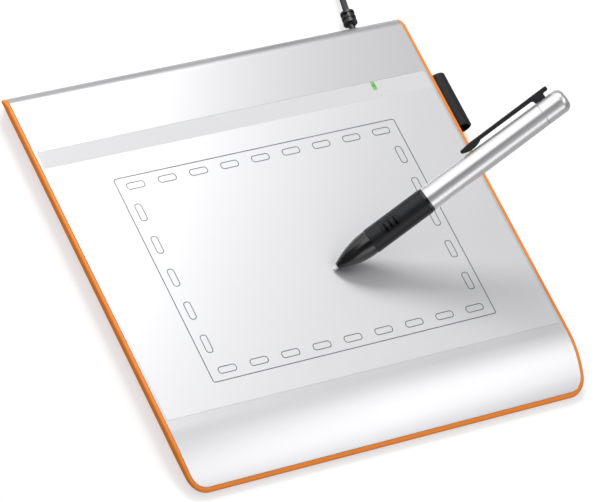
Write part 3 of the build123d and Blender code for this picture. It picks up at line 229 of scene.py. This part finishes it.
def add_node(tree, kind, settings=None, inputs=None, output=0):
    """Add a node of any kind: its settings come first, then the values or links of its sockets."""
    node = tree.nodes.new("ShaderNode" + kind)
    for name, value in (settings or {}).items():
        if name == "stops":
            set_stops(node.color_ramp, value)
        else:
            setattr(node, name, value)
    for name, value in (inputs or {}).items():
        connect(tree, node.inputs[name], value)
    return Wire(tree, node.outputs[output])


# %% [markdown]
# ## Floor
#
# In the picture the tablet lies on white that ends nowhere. A white table would do, but it would throw
# its light back at the silver. This one is a mid grey that takes the shadows, and a glow lifts it to
# white for the camera alone, seen directly or through a clear piece. Reflections are left without the
# glow, because the underside of the pen and the rolled back edge mirror a grey table in the picture.

# %% Floor
floor_half_width = 4.0
floor_shade = (0.46, 0.46, 0.46)
floor_glow = 0.60

bpy.ops.object.select_all(action="DESELECT")
bpy.ops.mesh.primitive_plane_add(size=2 * floor_half_width, location=(0, 0, 0))
floor = bpy.context.object
floor.name = "floor"
floor_paint = bpy.data.materials.new("floor_paint")
floor_paint.use_nodes = True
tree = floor_paint.node_tree
tree.nodes.remove(tree.nodes["Principled BSDF"])
seen = (add_node(tree, "LightPath", output="Is Camera Ray")
        + add_node(tree, "LightPath", output="Is Transmission Ray")) > 0.5
lit = add_node(tree, "BsdfDiffuse", inputs={"Color": floor_shade})
glow = add_node(tree, "Emission", inputs={"Color": (1, 1, 1), "Strength": floor_glow * seen})
both = add_node(tree, "AddShader", inputs={0: lit, 1: glow})
connect(tree, tree.nodes["Material Output"].inputs["Surface"], both)
floor.data.materials.append(floor_paint)
print("floor:", 2 * floor_half_width, "m wide")

# %% [markdown]
# ## Room
#
# Silver shows what stands round it, so the room matters more here than for a coloured object. It could be
# walls and a ceiling, but a world that changes with direction does the same with nothing in the way of
# the lamps. It is dim at eye level and brighter overhead, which draws the grey lines along the pen and
# the rolled back edge. A darker patch lies where the camera stands, as the camera and its stand are in a
# real studio, and the glossy nose of the pen mirrors it. The camera itself sees plain white.

# %% Room
horizon_level = 0.13
horizon_top = 0.35
zenith_level = 0.40
zenith_edge = 0.75
patch_level = 0.07
patch_spread = radians(24)
patch_direction = (camera_place - camera_aim).normalized()

world = bpy.data.worlds.new("room")
bpy.context.scene.world = world
world.use_nodes = True
tree = world.node_tree
direction = add_node(tree, "TexCoord", output="Generated")
upward = add_node(tree, "SeparateXYZ", inputs={0: direction}, output="Z")
level = add_node(tree, "ValToRGB", {"stops": [(0.0, horizon_level), (horizon_top, horizon_level),
                                              (zenith_edge, zenith_level), (1.0, zenith_level)]},
                 {"Fac": upward})
to_patch = add_node(tree, "VectorMath", {"operation": "DOT_PRODUCT"},
                    {0: direction, 1: tuple(patch_direction)}, output="Value")
patch = add_node(tree, "ValToRGB", {"stops": [(0.0, 0.0), (cos(patch_spread), 0.0),
                                              (cos(patch_spread / 2), 1.0), (1.0, 1.0)]},
                 {"Fac": to_patch})
level = add_node(tree, "Mix", {"data_type": "RGBA"}, {0: patch, 6: level, 7: (patch_level,) * 3},
                 output=2)
seen = add_node(tree, "LightPath", output="Is Camera Ray")
room_light = add_node(tree, "Background", inputs={"Color": level, "Strength": 1.0})
white = add_node(tree, "Background", inputs={"Color": (1, 1, 1), "Strength": 1.0})
mixed = add_node(tree, "MixShader", inputs={0: seen, 1: room_light, 2: white})
connect(tree, tree.nodes["World Output"].inputs["Surface"], mixed)
print("room: level", horizon_level, "at eye level,", zenith_level, "overhead,", patch_level, "at the camera")

# %% [markdown]
# ## Lamps
#
# Five softboxes light the tablet, each a rectangle, because bright paint and polished plastic show the
# shape of a lamp. The key stands behind the tablet. The film shows the edge of its highlight, bright at
# the back left and greyer towards the front right, and it throws the pen's shadow forward. The second
# hangs high on the right and lights the fall of the palm rest. The other three are large and dim. They
# stand on the left, at the back left and in front, and draw the white lines along the barrel, so they
# face the pen.

# %% Lamps
film_middle = (0, 0, 0)
palm_middle = (0, -80, 0)
pen_middle = (60, -5, 45)


def softbox(name, place, aim, size, power):
    """A rectangular lamp at a place in millimetres that faces its aim."""
    lamp = bpy.data.lights.new(name, "AREA")
    lamp.shape = "RECTANGLE"
    lamp.size, lamp.size_y = size[0] * mm, size[1] * mm
    lamp.energy = power
    box = bpy.data.objects.new(name, lamp)
    box.location = Vector(place) * mm
    towards = (Vector(aim) - Vector(place)).normalized()
    box.rotation_mode = "QUATERNION"
    box.rotation_quaternion = towards.to_track_quat("-Z", "Y")
    bpy.context.scene.collection.objects.link(box)
    print(name, size, "mm,", power, "W")


softbox("key_softbox", (80, 580, 745), film_middle, (320, 260), 5.0)
softbox("palm_softbox", (440, -235, 760), palm_middle, (740, 300), 1.2)
softbox("left_softbox", (-485, 146, 744), pen_middle, (480, 480), 0.8)
softbox("back_left_softbox", (-357, 694, 430), pen_middle, (800, 800), 1.9)
softbox("front_softbox", (-20, -860, 215), pen_middle, (800, 470), 1.55)

# %% [markdown]
# ## Finishes
#
# Each finish is one material, and a class holds what all of them need: the place on the piece in
# millimetres, noise of a given size, a mix of two colours and a bump of a given height. So each finish
# is written in the measures of the real surface, and looks right from close up too.

# %% A finish and its measures


class Finish:
    """A material with its Principled shader. Sizes are in millimetres on the piece."""

    def __init__(self, name, **shader):
        self.material = bpy.data.materials.new(name)
        self.material.use_nodes = True
        self.tree = self.material.node_tree
        self.shader = self.tree.nodes["Principled BSDF"]
        for socket, value in shader.items():
            self.set(socket.replace("_", " "), value)

    def node(self, kind, settings=None, inputs=None, output=0):
        return add_node(self.tree, kind, settings, inputs, output)

    def set(self, socket, value):
        connect(self.tree, self.shader.inputs[socket], value)

    def place(self):
        return self.node("TexCoord", output="Object")

    def axis(self, letter):
        """One coordinate on the piece, in millimetres."""
        return self.node("SeparateXYZ", inputs={0: self.place()}, output=letter) * (1 / mm)

    def noise(self, size, detail=2.0, vector=None):
        """Soft noise between 0 and 1 whose blotches are about this size."""
        where = vector or self.place()
        return self.node("TexNoise", inputs={"Vector": where, "Scale": 1 / (size * mm), "Detail": detail})

    def mix(self, factor, first, second):
        return self.node("Mix", {"data_type": "RGBA"}, {0: factor, 6: first, 7: second}, output=2)

    def between(self, wire, low, high):
        """Stretch a wire that runs from 0 to 1 so that it runs from low to high."""
        return wire * (high - low) + low

    def raise_by(self, height, depth):
        """Bump the surface by a height between 0 and 1 times a depth."""
        self.set("Normal", self.node("Bump", inputs={"Distance": depth * mm, "Height": height}))


def shaded(colour, factor):
    """A colour made lighter or darker by one factor."""
    return tuple(min(channel * factor, 1) for channel in colour)


# %% [markdown]
# ### Moulded pieces
#
# Most pieces are moulded in plastic or rubber. A moulded piece has three things that a flat colour
# lacks: a fine grain from the tool, a slow drift in shade from the melt, and patches that shine a little
# more where it was handled. One function gives all three, because only their amounts differ.

# %% Moulded plastic and rubber
melt_drift_size = 22
handled_size = 7
handled_spread = 0.05


def moulded(name, colour, roughness, grain=0.3, depth=0.006, drift=0.05, **shader):
    """Moulded plastic or rubber."""
    finish = Finish(name, **shader)
    slow = finish.noise(melt_drift_size, detail=3)
    handled = finish.noise(handled_size, detail=4)
    finish.set("Base Color", finish.mix(slow, shaded(colour, 1 - drift), shaded(colour, 1 + drift)))
    finish.set("Roughness", finish.between(handled, roughness - handled_spread, roughness + handled_spread))
    finish.raise_by(finish.noise(grain), depth)
    return finish.material


# %% [markdown]
# ### Silver paint
#
# The cover and the pen are sprayed silver: flakes of metal in a clear binder. Bare metal would mirror too
# clearly, and a plain grey not at all, so the paint is mostly metallic, and its shade and gloss change
# from flake to flake. The flakes are too small to see one by one and only break up the reflections. The
# pen is painted finer and smoother than the cover.

# %% Silver paint
coat_drift_size = 45


def silver_paint(name, colour, metallic, roughness, flake=0.12, sparkle=0.05, depth=0.001, spread=0.04):
    """Metallic paint whose flakes change its shade and gloss from point to point."""
    finish = Finish(name, Metallic=metallic)
    flakes = finish.noise(flake, detail=1)
    slow = finish.noise(coat_drift_size, detail=2)
    shade = finish.between(flakes, 0, 0.6) + finish.between(slow, 0, 0.4)
    finish.set("Base Color", finish.mix(shade, shaded(colour, 1 - sparkle), shaded(colour, 1 + sparkle)))
    finish.set("Roughness", finish.between(flakes, roughness - spread, roughness + spread))
    finish.raise_by(flakes, depth)
    return finish.material


silver_shell = silver_paint("silver_shell_paint", (0.80, 0.80, 0.82), metallic=0.80, roughness=0.36)
silver_pen = silver_paint("silver_pen_paint", (0.84, 0.84, 0.85), metallic=0.74, roughness=0.28,
                          sparkle=0.015, depth=0.0, spread=0.01)
print("paints:", silver_shell.name, silver_pen.name)

# %% [markdown]
# ### Drawing film
#
# The film is printed on its back with a pale silver, and one band across it is printed with a flat
# grey instead. The change is a straight edge, so a comparison on one coordinate draws it, sharp at any
# distance. The front of the film is very finely matt, which makes the pen drag like on paper.

# %% Drawing film
band_front = 58.2
film_silver = (0.80, 0.80, 0.82)
silver_metallic = 0.70
band_grey = (0.68, 0.68, 0.69)
band_metallic = 0.05


def drawing_film():
    finish = Finish("drawing_film_print")
    band = finish.axis("Y") > band_front
    fibre = finish.noise(0.16, detail=2)
    slow = finish.noise(30, detail=3)
    silver = finish.mix(slow, shaded(film_silver, 0.985), shaded(film_silver, 1.015))
    finish.set("Base Color", finish.mix(band, silver, band_grey))
    finish.set("Metallic", silver_metallic - (silver_metallic - band_metallic) * band)
    finish.set("Roughness", finish.between(fibre, 0.38, 0.46))
    finish.raise_by(fibre, 0.003)
    return finish.material


film_print = drawing_film()
print("film: grey band from y =", band_front, "mm to its back edge")

# %% [markdown]
# ### Orange tray
#
# The tray is moulded in one bright orange, and from above only its edge shows. It could be painted, but
# a chip in paint would show another colour, so such trays are coloured all through. A fine grain and
# hardly any drift keep the edge one even line, and a low specular level keeps the lamps from paling it.

# %% Orange tray
orange = (0.96, 0.272, 0.034)
orange_shell = moulded("orange_plastic", orange, 0.42, grain=0.5, depth=0.002, drift=0.03,
                       Specular_IOR_Level=0.25)
print("tray:", orange_shell.name, orange)

# %% [markdown]
# ### Status light
#
# A small window at the back edge of the film shows that the tablet is on. A clear window with a lamp
# behind it would be slow to render for a few pixels, so it is an opaque green with a faint glow. It is
# deep green in the middle, where the lamp is, and pales towards its two ends.

# %% Status light
light_y = 64.65
light_half_length = 2.6


def green_lens():
    """A green window, deepest in the middle where the lamp stands behind it."""
    finish = Finish("green_window", Roughness=0.18, Coat_Weight=0.6, Emission_Strength=0.12)
    from_middle = finish.axis("Y") - light_y
    away = finish.node("Math", {"operation": "ABSOLUTE"}, {0: from_middle}) / light_half_length
    finish.set("Base Color", finish.mix(away, (0.06, 0.40, 0.04), (0.40, 0.60, 0.36)))
    finish.set("Emission Color", finish.mix(away, (0.10, 0.62, 0.06), (0.10, 0.35, 0.07)))
    return finish.material


green_window = green_lens()
print("status light:", 2 * light_half_length, "mm long")

# %% [markdown]
# ### Circuit boards
#
# The circuit boards are green lacquer over copper, so tracks show as slightly raised, paler lines. They
# run square to each other in real boards. Here two sets of stripes, each broken up by a blocky noise,
# give that look without drawing one circuit.

# %% Circuit board
track_block = 9
track_share = 0.42


def circuit_board(name, lacquer, copper_shade, pitch):
    """Lacquered board whose tracks are a pitch apart."""
    finish = Finish(name, Roughness=0.32, Coat_Weight=0.4)
    blocks = finish.node("TexVoronoi", {"distance": "CHEBYCHEV"},
                         {"Vector": finish.place(), "Scale": 1 / (track_block * mm)}, output="Color")
    pick = finish.node("SeparateColor", inputs={0: blocks}, output=0)
    rows = finish.node("Math", {"operation": "FRACT"}, {0: finish.axis("X") / pitch}) < track_share
    lines = finish.node("Math", {"operation": "FRACT"}, {0: finish.axis("Y") / pitch}) < track_share
    track = rows * (pick > 0.5) + lines * (pick < 0.5)
    finish.set("Base Color", finish.mix(track, lacquer, copper_shade))
    finish.raise_by(track, 0.03)
    return finish.material


board_green = circuit_board("board_green", (0.015, 0.13, 0.045), (0.05, 0.26, 0.11), 1.1)
print("boards:", board_green.name)

# %% [markdown]
# ### Webbing
#
# Webbing is woven: ribs run across it, and each rib passes over and under the threads along it. On the
# loop the direction along the strap turns with the loop, so the pattern is worked out from the angle
# about the loop's middle.

# %% Webbing
loop_x, loop_z = 103.4, 5.3
loop_radius = 4.1
rib_pitch = 1.1
thread_pitch = 0.9


def webbing():
    """Black woven strap, its weave bent round the loop."""
    finish = Finish("black_webbing", Sheen_Weight=0.04, Sheen_Roughness=0.5, Specular_IOR_Level=0.3)
    turn = finish.node("Math", {"operation": "ARCTAN2"},
                       {0: finish.axis("Z") - loop_z, 1: finish.axis("X") - loop_x})
    round_loop = turn * loop_radius
    ribs = finish.node("Math", {"operation": "SINE"}, {0: finish.axis("Y") * (2 * pi / rib_pitch)})
    threads = finish.node("Math", {"operation": "SINE"}, {0: round_loop * (2 * pi / thread_pitch)})
    weave = finish.between(ribs * threads, 0.5, 1.0)
    fuzz = finish.noise(0.2, detail=3)
    finish.set("Base Color", finish.mix(weave * fuzz, (0.002, 0.002, 0.003), (0.034, 0.031, 0.036)))
    finish.set("Roughness", finish.between(fuzz, 0.45, 0.62))
    finish.raise_by(weave, 0.12)
    return finish.material


black_webbing = webbing()
print("webbing:", rib_pitch, "by", thread_pitch, "mm weave")

# %% [markdown]
# ## The pen loop
#
# The loop is one strap of webbing. It goes round the place of the pen and back on itself into the case,
# where it closes round a rod. A ring with a tongue would have the outline, but no fold. So the line of
# the strap is drawn as it runs: round the pen from neck to neck, in to the rod, round it and out again,
# with the two layers close together between them.

# %% The folded line of the strap
strap_thickness = 0.9
rod_x = 91.0
rod_radius = 1.45
half_gap = 0.65
neck_x = 99.28
neck_angle = radians(37.9)
fold_radius = loop_radius - strap_thickness / 2
fold_steps = 28
rod_steps = 10

profile = []
for step in range(fold_steps + 1):
    angle = pi - neck_angle - step * 2 * (pi - neck_angle) / fold_steps
    profile.append((loop_x + fold_radius * cos(angle), loop_z + fold_radius * sin(angle)))
profile.append((neck_x, loop_z - half_gap))
rod_angle = asin(half_gap / rod_radius)
for step in range(rod_steps + 1):
    angle = -rod_angle - step * 2 * (pi - rod_angle) / rod_steps
    profile.append((rod_x + rod_radius * cos(angle), loop_z + rod_radius * sin(angle)))
profile.append((neck_x, loop_z + half_gap))
print("points round the strap:", len(profile))

# %% [markdown]
# The line becomes a flat curve, pulled out to the width of the strap and stood up along the side of the
# case. It is made a mesh before its place is applied, because a flat curve can't be turned out of its
# plane.

# %% The strap as a surface
strap_length = 27.2
loop_y = 51.0

strap_line = bpy.data.curves.new("webbing_loop", "CURVE")
strap_line.dimensions = "2D"
strap_line.fill_mode = "NONE"
strap_line.extrude = strap_length / 2 * mm
fold = strap_line.splines.new("POLY")
fold.points.add(len(profile) - 1)
for point, (x, z) in zip(fold.points, profile):
    point.co = (x * mm, z * mm, 0, 1)
fold.use_cyclic_u = True
strap = bpy.data.objects.new("webbing_loop", strap_line)
bpy.context.scene.collection.objects.link(strap)
strap.rotation_euler = (pi / 2, 0, 0)
strap.location = (0, loop_y * mm, 0)
bpy.ops.object.select_all(action="DESELECT")
strap.select_set(True)
bpy.context.view_layer.objects.active = strap
bpy.ops.object.convert(target="MESH")
bpy.ops.object.transform_apply(location=True, rotation=True, scale=True)
strap = bpy.context.object
print("strap:", strap_length, "mm along the case")

# %% [markdown]
# Two modifiers finish the strap. One gives the surface its thickness, half to each side of the line, and
# one rounds every edge that turns by more than 50 degrees, the woven ones at both sides among them.

# %% Thickness and woven edges
thicken = strap.modifiers.new("thickness", "SOLIDIFY")
thicken.thickness = strap_thickness * mm
thicken.offset = 0
selvedge = strap.modifiers.new("selvedge", "BEVEL")
selvedge.width = 0.25 * mm
selvedge.segments = 3
selvedge.limit_method = "ANGLE"
selvedge.angle_limit = radians(50)
for modifier in [thicken.name, selvedge.name]:
    bpy.ops.object.modifier_apply(modifier=modifier)
bpy.ops.object.shade_smooth_by_angle(angle=radians(35))
strap.data.materials.append(black_webbing)
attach(strap, "tablet")
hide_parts("pen_loop")
print("strap faces:", len(strap.data.polygons))

# %% [markdown]
# ## More finishes
#
# ### Metals
#
# Screws, springs, contacts and shields are drawn or plated metal. Drawing leaves fine lines, so the noise
# behind the gloss is squeezed along one axis until its blotches become lines, which is cheaper than
# drawing each line. A slow tarnish shifts the colour a little.

# %% Metals
line_squeeze = (1, 12, 1)
tarnish_size = 6


def metal(name, colour, roughness, grain=0.4, **shader):
    """Plain or plated metal with fine drawn lines."""
    finish = Finish(name, Metallic=1.0, **shader)
    lines = finish.node("Mapping", inputs={"Vector": finish.place(), "Scale": line_squeeze})
    drawn = finish.noise(grain, detail=3, vector=lines)
    tarnish = finish.noise(tarnish_size, detail=3)
    finish.set("Base Color", finish.mix(tarnish, shaded(colour, 0.93), shaded(colour, 1.05)))
    finish.set("Roughness", finish.between(drawn, roughness - 0.06, roughness + 0.08))
    finish.raise_by(drawn, 0.003)
    return finish.material


# %% [markdown]
# ### Black pieces of the pen
#
# The nose is moulded in a polished tool and is the glossiest piece of all: nearly no grain, and a high
# specular level, so that it mirrors the softboxes. The clip comes from a satin tool. The grip is a rubber
# sleeve with a fine grain that fingers feel, and its black leans to blue.

# %% Black plastics and the grip
gloss_black = moulded("gloss_black_plastic", (0.002, 0.002, 0.003), 0.22, grain=0.6, depth=0.001,
                      drift=0.02, Specular_IOR_Level=0.8)
satin_black = moulded("satin_black_plastic", (0.020, 0.020, 0.022), 0.34, grain=0.3, depth=0.006)
grip_colour = (0.0060, 0.0066, 0.0100)
grip_roughness = 0.42
grip_specular = 0.4
grip_grain = 0.35
grip_depth = 0.016
grip_rubber = moulded("grip_rubber", grip_colour, grip_roughness, grain=grip_grain, depth=grip_depth,
                      drift=0.08, Specular_IOR_Level=grip_specular)
print("black pieces:", gloss_black.name, satin_black.name, grip_rubber.name)

# %% [markdown]
# ### Side switch
#
# The rocker of the side switch has the grip's own rubber, and its three ridges are painted near-black
# with little shine: painted shade that stands in for the shaded sides of the ridges. They are the only part
# of it that stands further from the pen's axis than the grip does, so the distance to that axis picks them
# out, and two shaders are mixed by it.

# %% Side switch
pen_tip = (6.95, -17.25, 10.48)
pen_along = (0.79495, 0.15021, 0.58779)
grip_radius = 5.65
ridge_start = 0.1


def ridged_switch():
    """Grip rubber, with painted shade in near-black where the ridges stand out."""
    finish = Finish("switch_rubber", Roughness=grip_roughness, Specular_IOR_Level=grip_specular)
    from_tip = finish.node("VectorMath", {"operation": "SUBTRACT"},
                           {0: finish.place(), 1: tuple(value * mm for value in pen_tip)})
    across_axis = finish.node("VectorMath", {"operation": "CROSS_PRODUCT"}, {0: from_tip, 1: pen_along})
    distance = finish.node("VectorMath", {"operation": "LENGTH"}, {0: across_axis}, output="Value") / mm
    ridge = distance > grip_radius + ridge_start
    grain = finish.noise(grip_grain)
    finish.set("Base Color", finish.mix(grain, shaded(grip_colour, 0.9), shaded(grip_colour, 1.1)))
    finish.raise_by(grain, grip_depth)
    rubber = Wire(finish.tree, finish.shader.outputs[0])
    # painted shade: the ridges get a near-black shader that stands in for their shaded sides
    ridge_painted_shade = finish.node("BsdfPrincipled", inputs={"Base Color": (0.001, 0.001, 0.001), "Roughness": 0.2,
                                                     "Specular IOR Level": 0.1})
    either = finish.node("MixShader", inputs={0: ridge, 1: rubber, 2: ridge_painted_shade})
    connect(finish.tree, finish.tree.nodes["Material Output"].inputs["Surface"], either)
    return finish.material


switch_rubber = ridged_switch()
print("ridges of the switch: further than", grip_radius + ridge_start, "mm from the pen's axis")

# %% [markdown]
# ### Sheath of the lead
#
# The lead is sheathed in soft rubber that dulls as it leaves the extruder. The stretch inside the case
# stays black, but the free one is handled and dragged over the desk, so it is greyer and more matt.
# The curve has no solid's name in the table below, so it gets its finish here.

# %% Sheath of the lead
lead_sheath = moulded("lead_sheath", (0.059, 0.059, 0.067), 0.85, grain=0.5)
lead.data.materials.append(lead_sheath)
print("lead:", lead_sheath.name)

# %% [markdown]
# ## Which piece has which finish
#
# Every piece of the CAD model gets its finish here, also the ones inside, because a part from a library
# is taken apart and looked at from all sides. A table of finishes with their pieces is shorter than a
# line for each piece, and shows at a glance what is made of the same stuff. Finishes that only one line
# of the table uses are made in that line.

# %% The table of finishes
finishes = {
    silver_shell: ["top_cover"],
    silver_pen: ["pen_barrel", "pen_cap"],
    film_print: ["drawing_sheet"],
    orange_shell: ["bottom_case"],
    green_window: ["light_pipe"],
    gloss_black: ["pen_nose"],
    satin_black: ["pen_clip"],
    switch_rubber: ["side_switch"],
    grip_rubber: ["pen_grip"],
    board_green: ["main_board", "sensor_board", "pen_board"],
    metal("bright_steel", (0.60, 0.60, 0.62), 0.28): [
        "case_screws", "clamp_screws", "lead_clamp", "loop_anchor", "battery_spring", "crystal"],
    metal("plated_steel", (0.74, 0.74, 0.76), 0.20): ["shield_plate", "plug_shell", "front_contact"],
    metal("gold_plate", (0.85, 0.62, 0.24), 0.22): ["plug_contacts"],
    metal("copper_wire", (0.75, 0.33, 0.14), 0.30, grain=0.2): ["pickup_coil"],
    moulded("foot_rubber", (0.045, 0.045, 0.048), 0.75, grain=0.5, depth=0.02): ["rubber_feet"],
    moulded("seal_rubber", (0.02, 0.02, 0.02), 0.55): ["cap_seal"],
    moulded("relief_rubber", (0.014, 0.014, 0.017), 0.40, grain=0.4): ["strain_relief", "plug_overmould"],
    moulded("lead_jacket", (0.018, 0.018, 0.020), 0.42, grain=0.5): ["inner_lead", "lead_tie"],
    moulded("plate_plastic", (0.62, 0.62, 0.64), 0.45): ["rating_label"],
    moulded("chip_package", (0.022, 0.022, 0.024), 0.50, grain=0.12, depth=0.01): ["controller_chip"],
    moulded("white_plastic", (0.80, 0.80, 0.77), 0.40): [
        "board_header", "board_socket", "status_led", "plug_tongue", "nib_holder", "pressure_sensor",
        "tact_switches"],
    moulded("clear_sheet", (0.72, 0.70, 0.60), 0.25, drift=0.03): ["insulating_sheet"],
    moulded("nib_plastic", (0.94, 0.94, 0.93), 0.30, depth=0.002): ["nib"],
    moulded("ferrite", (0.05, 0.05, 0.055), 0.60, grain=0.1, depth=0.01): ["ferrite_core"],
    moulded("battery_jacket", (0.10, 0.12, 0.15), 0.30): ["battery"],
}
print("finishes:", len(finishes))

# %% [markdown]
# A piece of the CAD model arrives with a plain colour, so its slot is emptied first. What the table
# doesn't name must be the solids that a modelled piece stands for, and the last line prints them.

# %% Give out the finishes
for material, names in finishes.items():
    for name in names:
        nodes[name].data.materials.clear()
        nodes[name].data.materials.append(material)
bare = set(nodes) - {name for names in finishes.values() for name in names}
print("solids that other pieces stand for:", sorted(bare))

# %% [markdown]
# ## Print on the film
#
# A thin dark line frames the working area, and small rounded outlines along its four sides mark shortcut
# keys. They could be painted by the film's material, but lines less than half a millimetre wide stay crisp
# from every distance as thin raised ink. One function models any such outline: a plane, its corners
# rounded, an inset as wide as the line, the middle taken out, and the rest raised.

# %% One printed outline
sheet_top = 10.0
ink_height = 0.02
corner_steps = 6


def printed_outline(name, centre, width, depth, corner, line):
    """A flat raised ring of ink with rounded corners, in millimetres."""
    bpy.ops.object.select_all(action="DESELECT")
    bpy.ops.mesh.primitive_plane_add(size=1, location=(0, 0, 0))
    outline = bpy.context.object
    outline.name = name
    bpy.ops.object.mode_set(mode="EDIT")
    bpy.ops.mesh.select_all(action="SELECT")
    bpy.ops.transform.resize(value=(width * mm, depth * mm, 1))
    bpy.ops.mesh.bevel(offset=corner * mm, segments=corner_steps, affect="VERTICES")
    bpy.ops.mesh.select_all(action="SELECT")
    bpy.ops.mesh.inset(thickness=line * mm)
    bpy.ops.mesh.delete(type="FACE")
    bpy.ops.mesh.select_all(action="SELECT")
    bpy.ops.mesh.extrude_region_move(TRANSFORM_OT_translate={"value": (0, 0, ink_height * mm)})
    bpy.ops.mesh.select_all(action="SELECT")
    bpy.ops.mesh.normals_make_consistent(inside=False)
    bpy.ops.transform.translate(value=(centre[0] * mm, centre[1] * mm, sheet_top * mm))
    bpy.ops.object.mode_set(mode="OBJECT")
    return outline


# %% [markdown]
# The frame is one outline with nearly square corners. It is where the tablet feels the pen, so its four
# edges are the working area that the whole object was sized by, and the key marks are placed from them.

# %% The frame of the working area
area_left, area_right = -69.52, 70.18
area_front, area_back = -54.675, 46.925
area_centre = ((area_left + area_right) / 2, (area_front + area_back) / 2)
area_line = printed_outline("area_line", area_centre, area_right - area_left, area_back - area_front,
                            corner=1.2, line=0.42)
print("working area:", round(area_right - area_left, 1), "by", round(area_back - area_front, 1), "mm")

# %% [markdown]
# The key marks stand in two rows, along the back and the front of the frame, and in two columns, along its
# sides. Each row or column has an even pitch, so two loops place them all. They are printed in one pass, so
# they are joined into one piece.

# %% The key marks
key_length, key_width = 8.8, 3.4
key_corner = 1.5
key_line = 0.38
row_count, row_pitch, row_start, row_inset = 9, 15.25, 8.85, 4.85
column_count, column_pitch, column_start, column_inset = 5, 16.42, 17.95, 5.25

marks = []
for number in range(row_count):
    x = area_left + row_start + number * row_pitch
    for y in (area_back - row_inset, area_front + row_inset):
        marks.append(printed_outline("mark", (x, y), key_length, key_width, key_corner, key_line))
for number in range(column_count):
    y = area_back - column_start - number * column_pitch
    for x in (area_left + column_inset, area_right - column_inset):
        marks.append(printed_outline("mark", (x, y), key_width, key_length, key_corner, key_line))
bpy.ops.object.select_all(action="DESELECT")
for mark in marks:
    mark.select_set(True)
bpy.context.view_layer.objects.active = marks[0]
bpy.ops.object.join()
key_marks = marks[0]
key_marks.name = "key_marks"
print("key marks:", 2 * (row_count + column_count))

# %% [markdown]
# The ink is a dark grey that dries a little unevenly, with more drift in its shade than a moulding has.

# %% Ink
ink = moulded("grey_ink", (0.11, 0.11, 0.12), 0.45, grain=0.2, depth=0.001, drift=0.10)
for print_piece in (area_line, key_marks):
    print_piece.data.materials.append(ink)
    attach(print_piece, "tablet")
print("printed pieces:", area_line.name, key_marks.name)
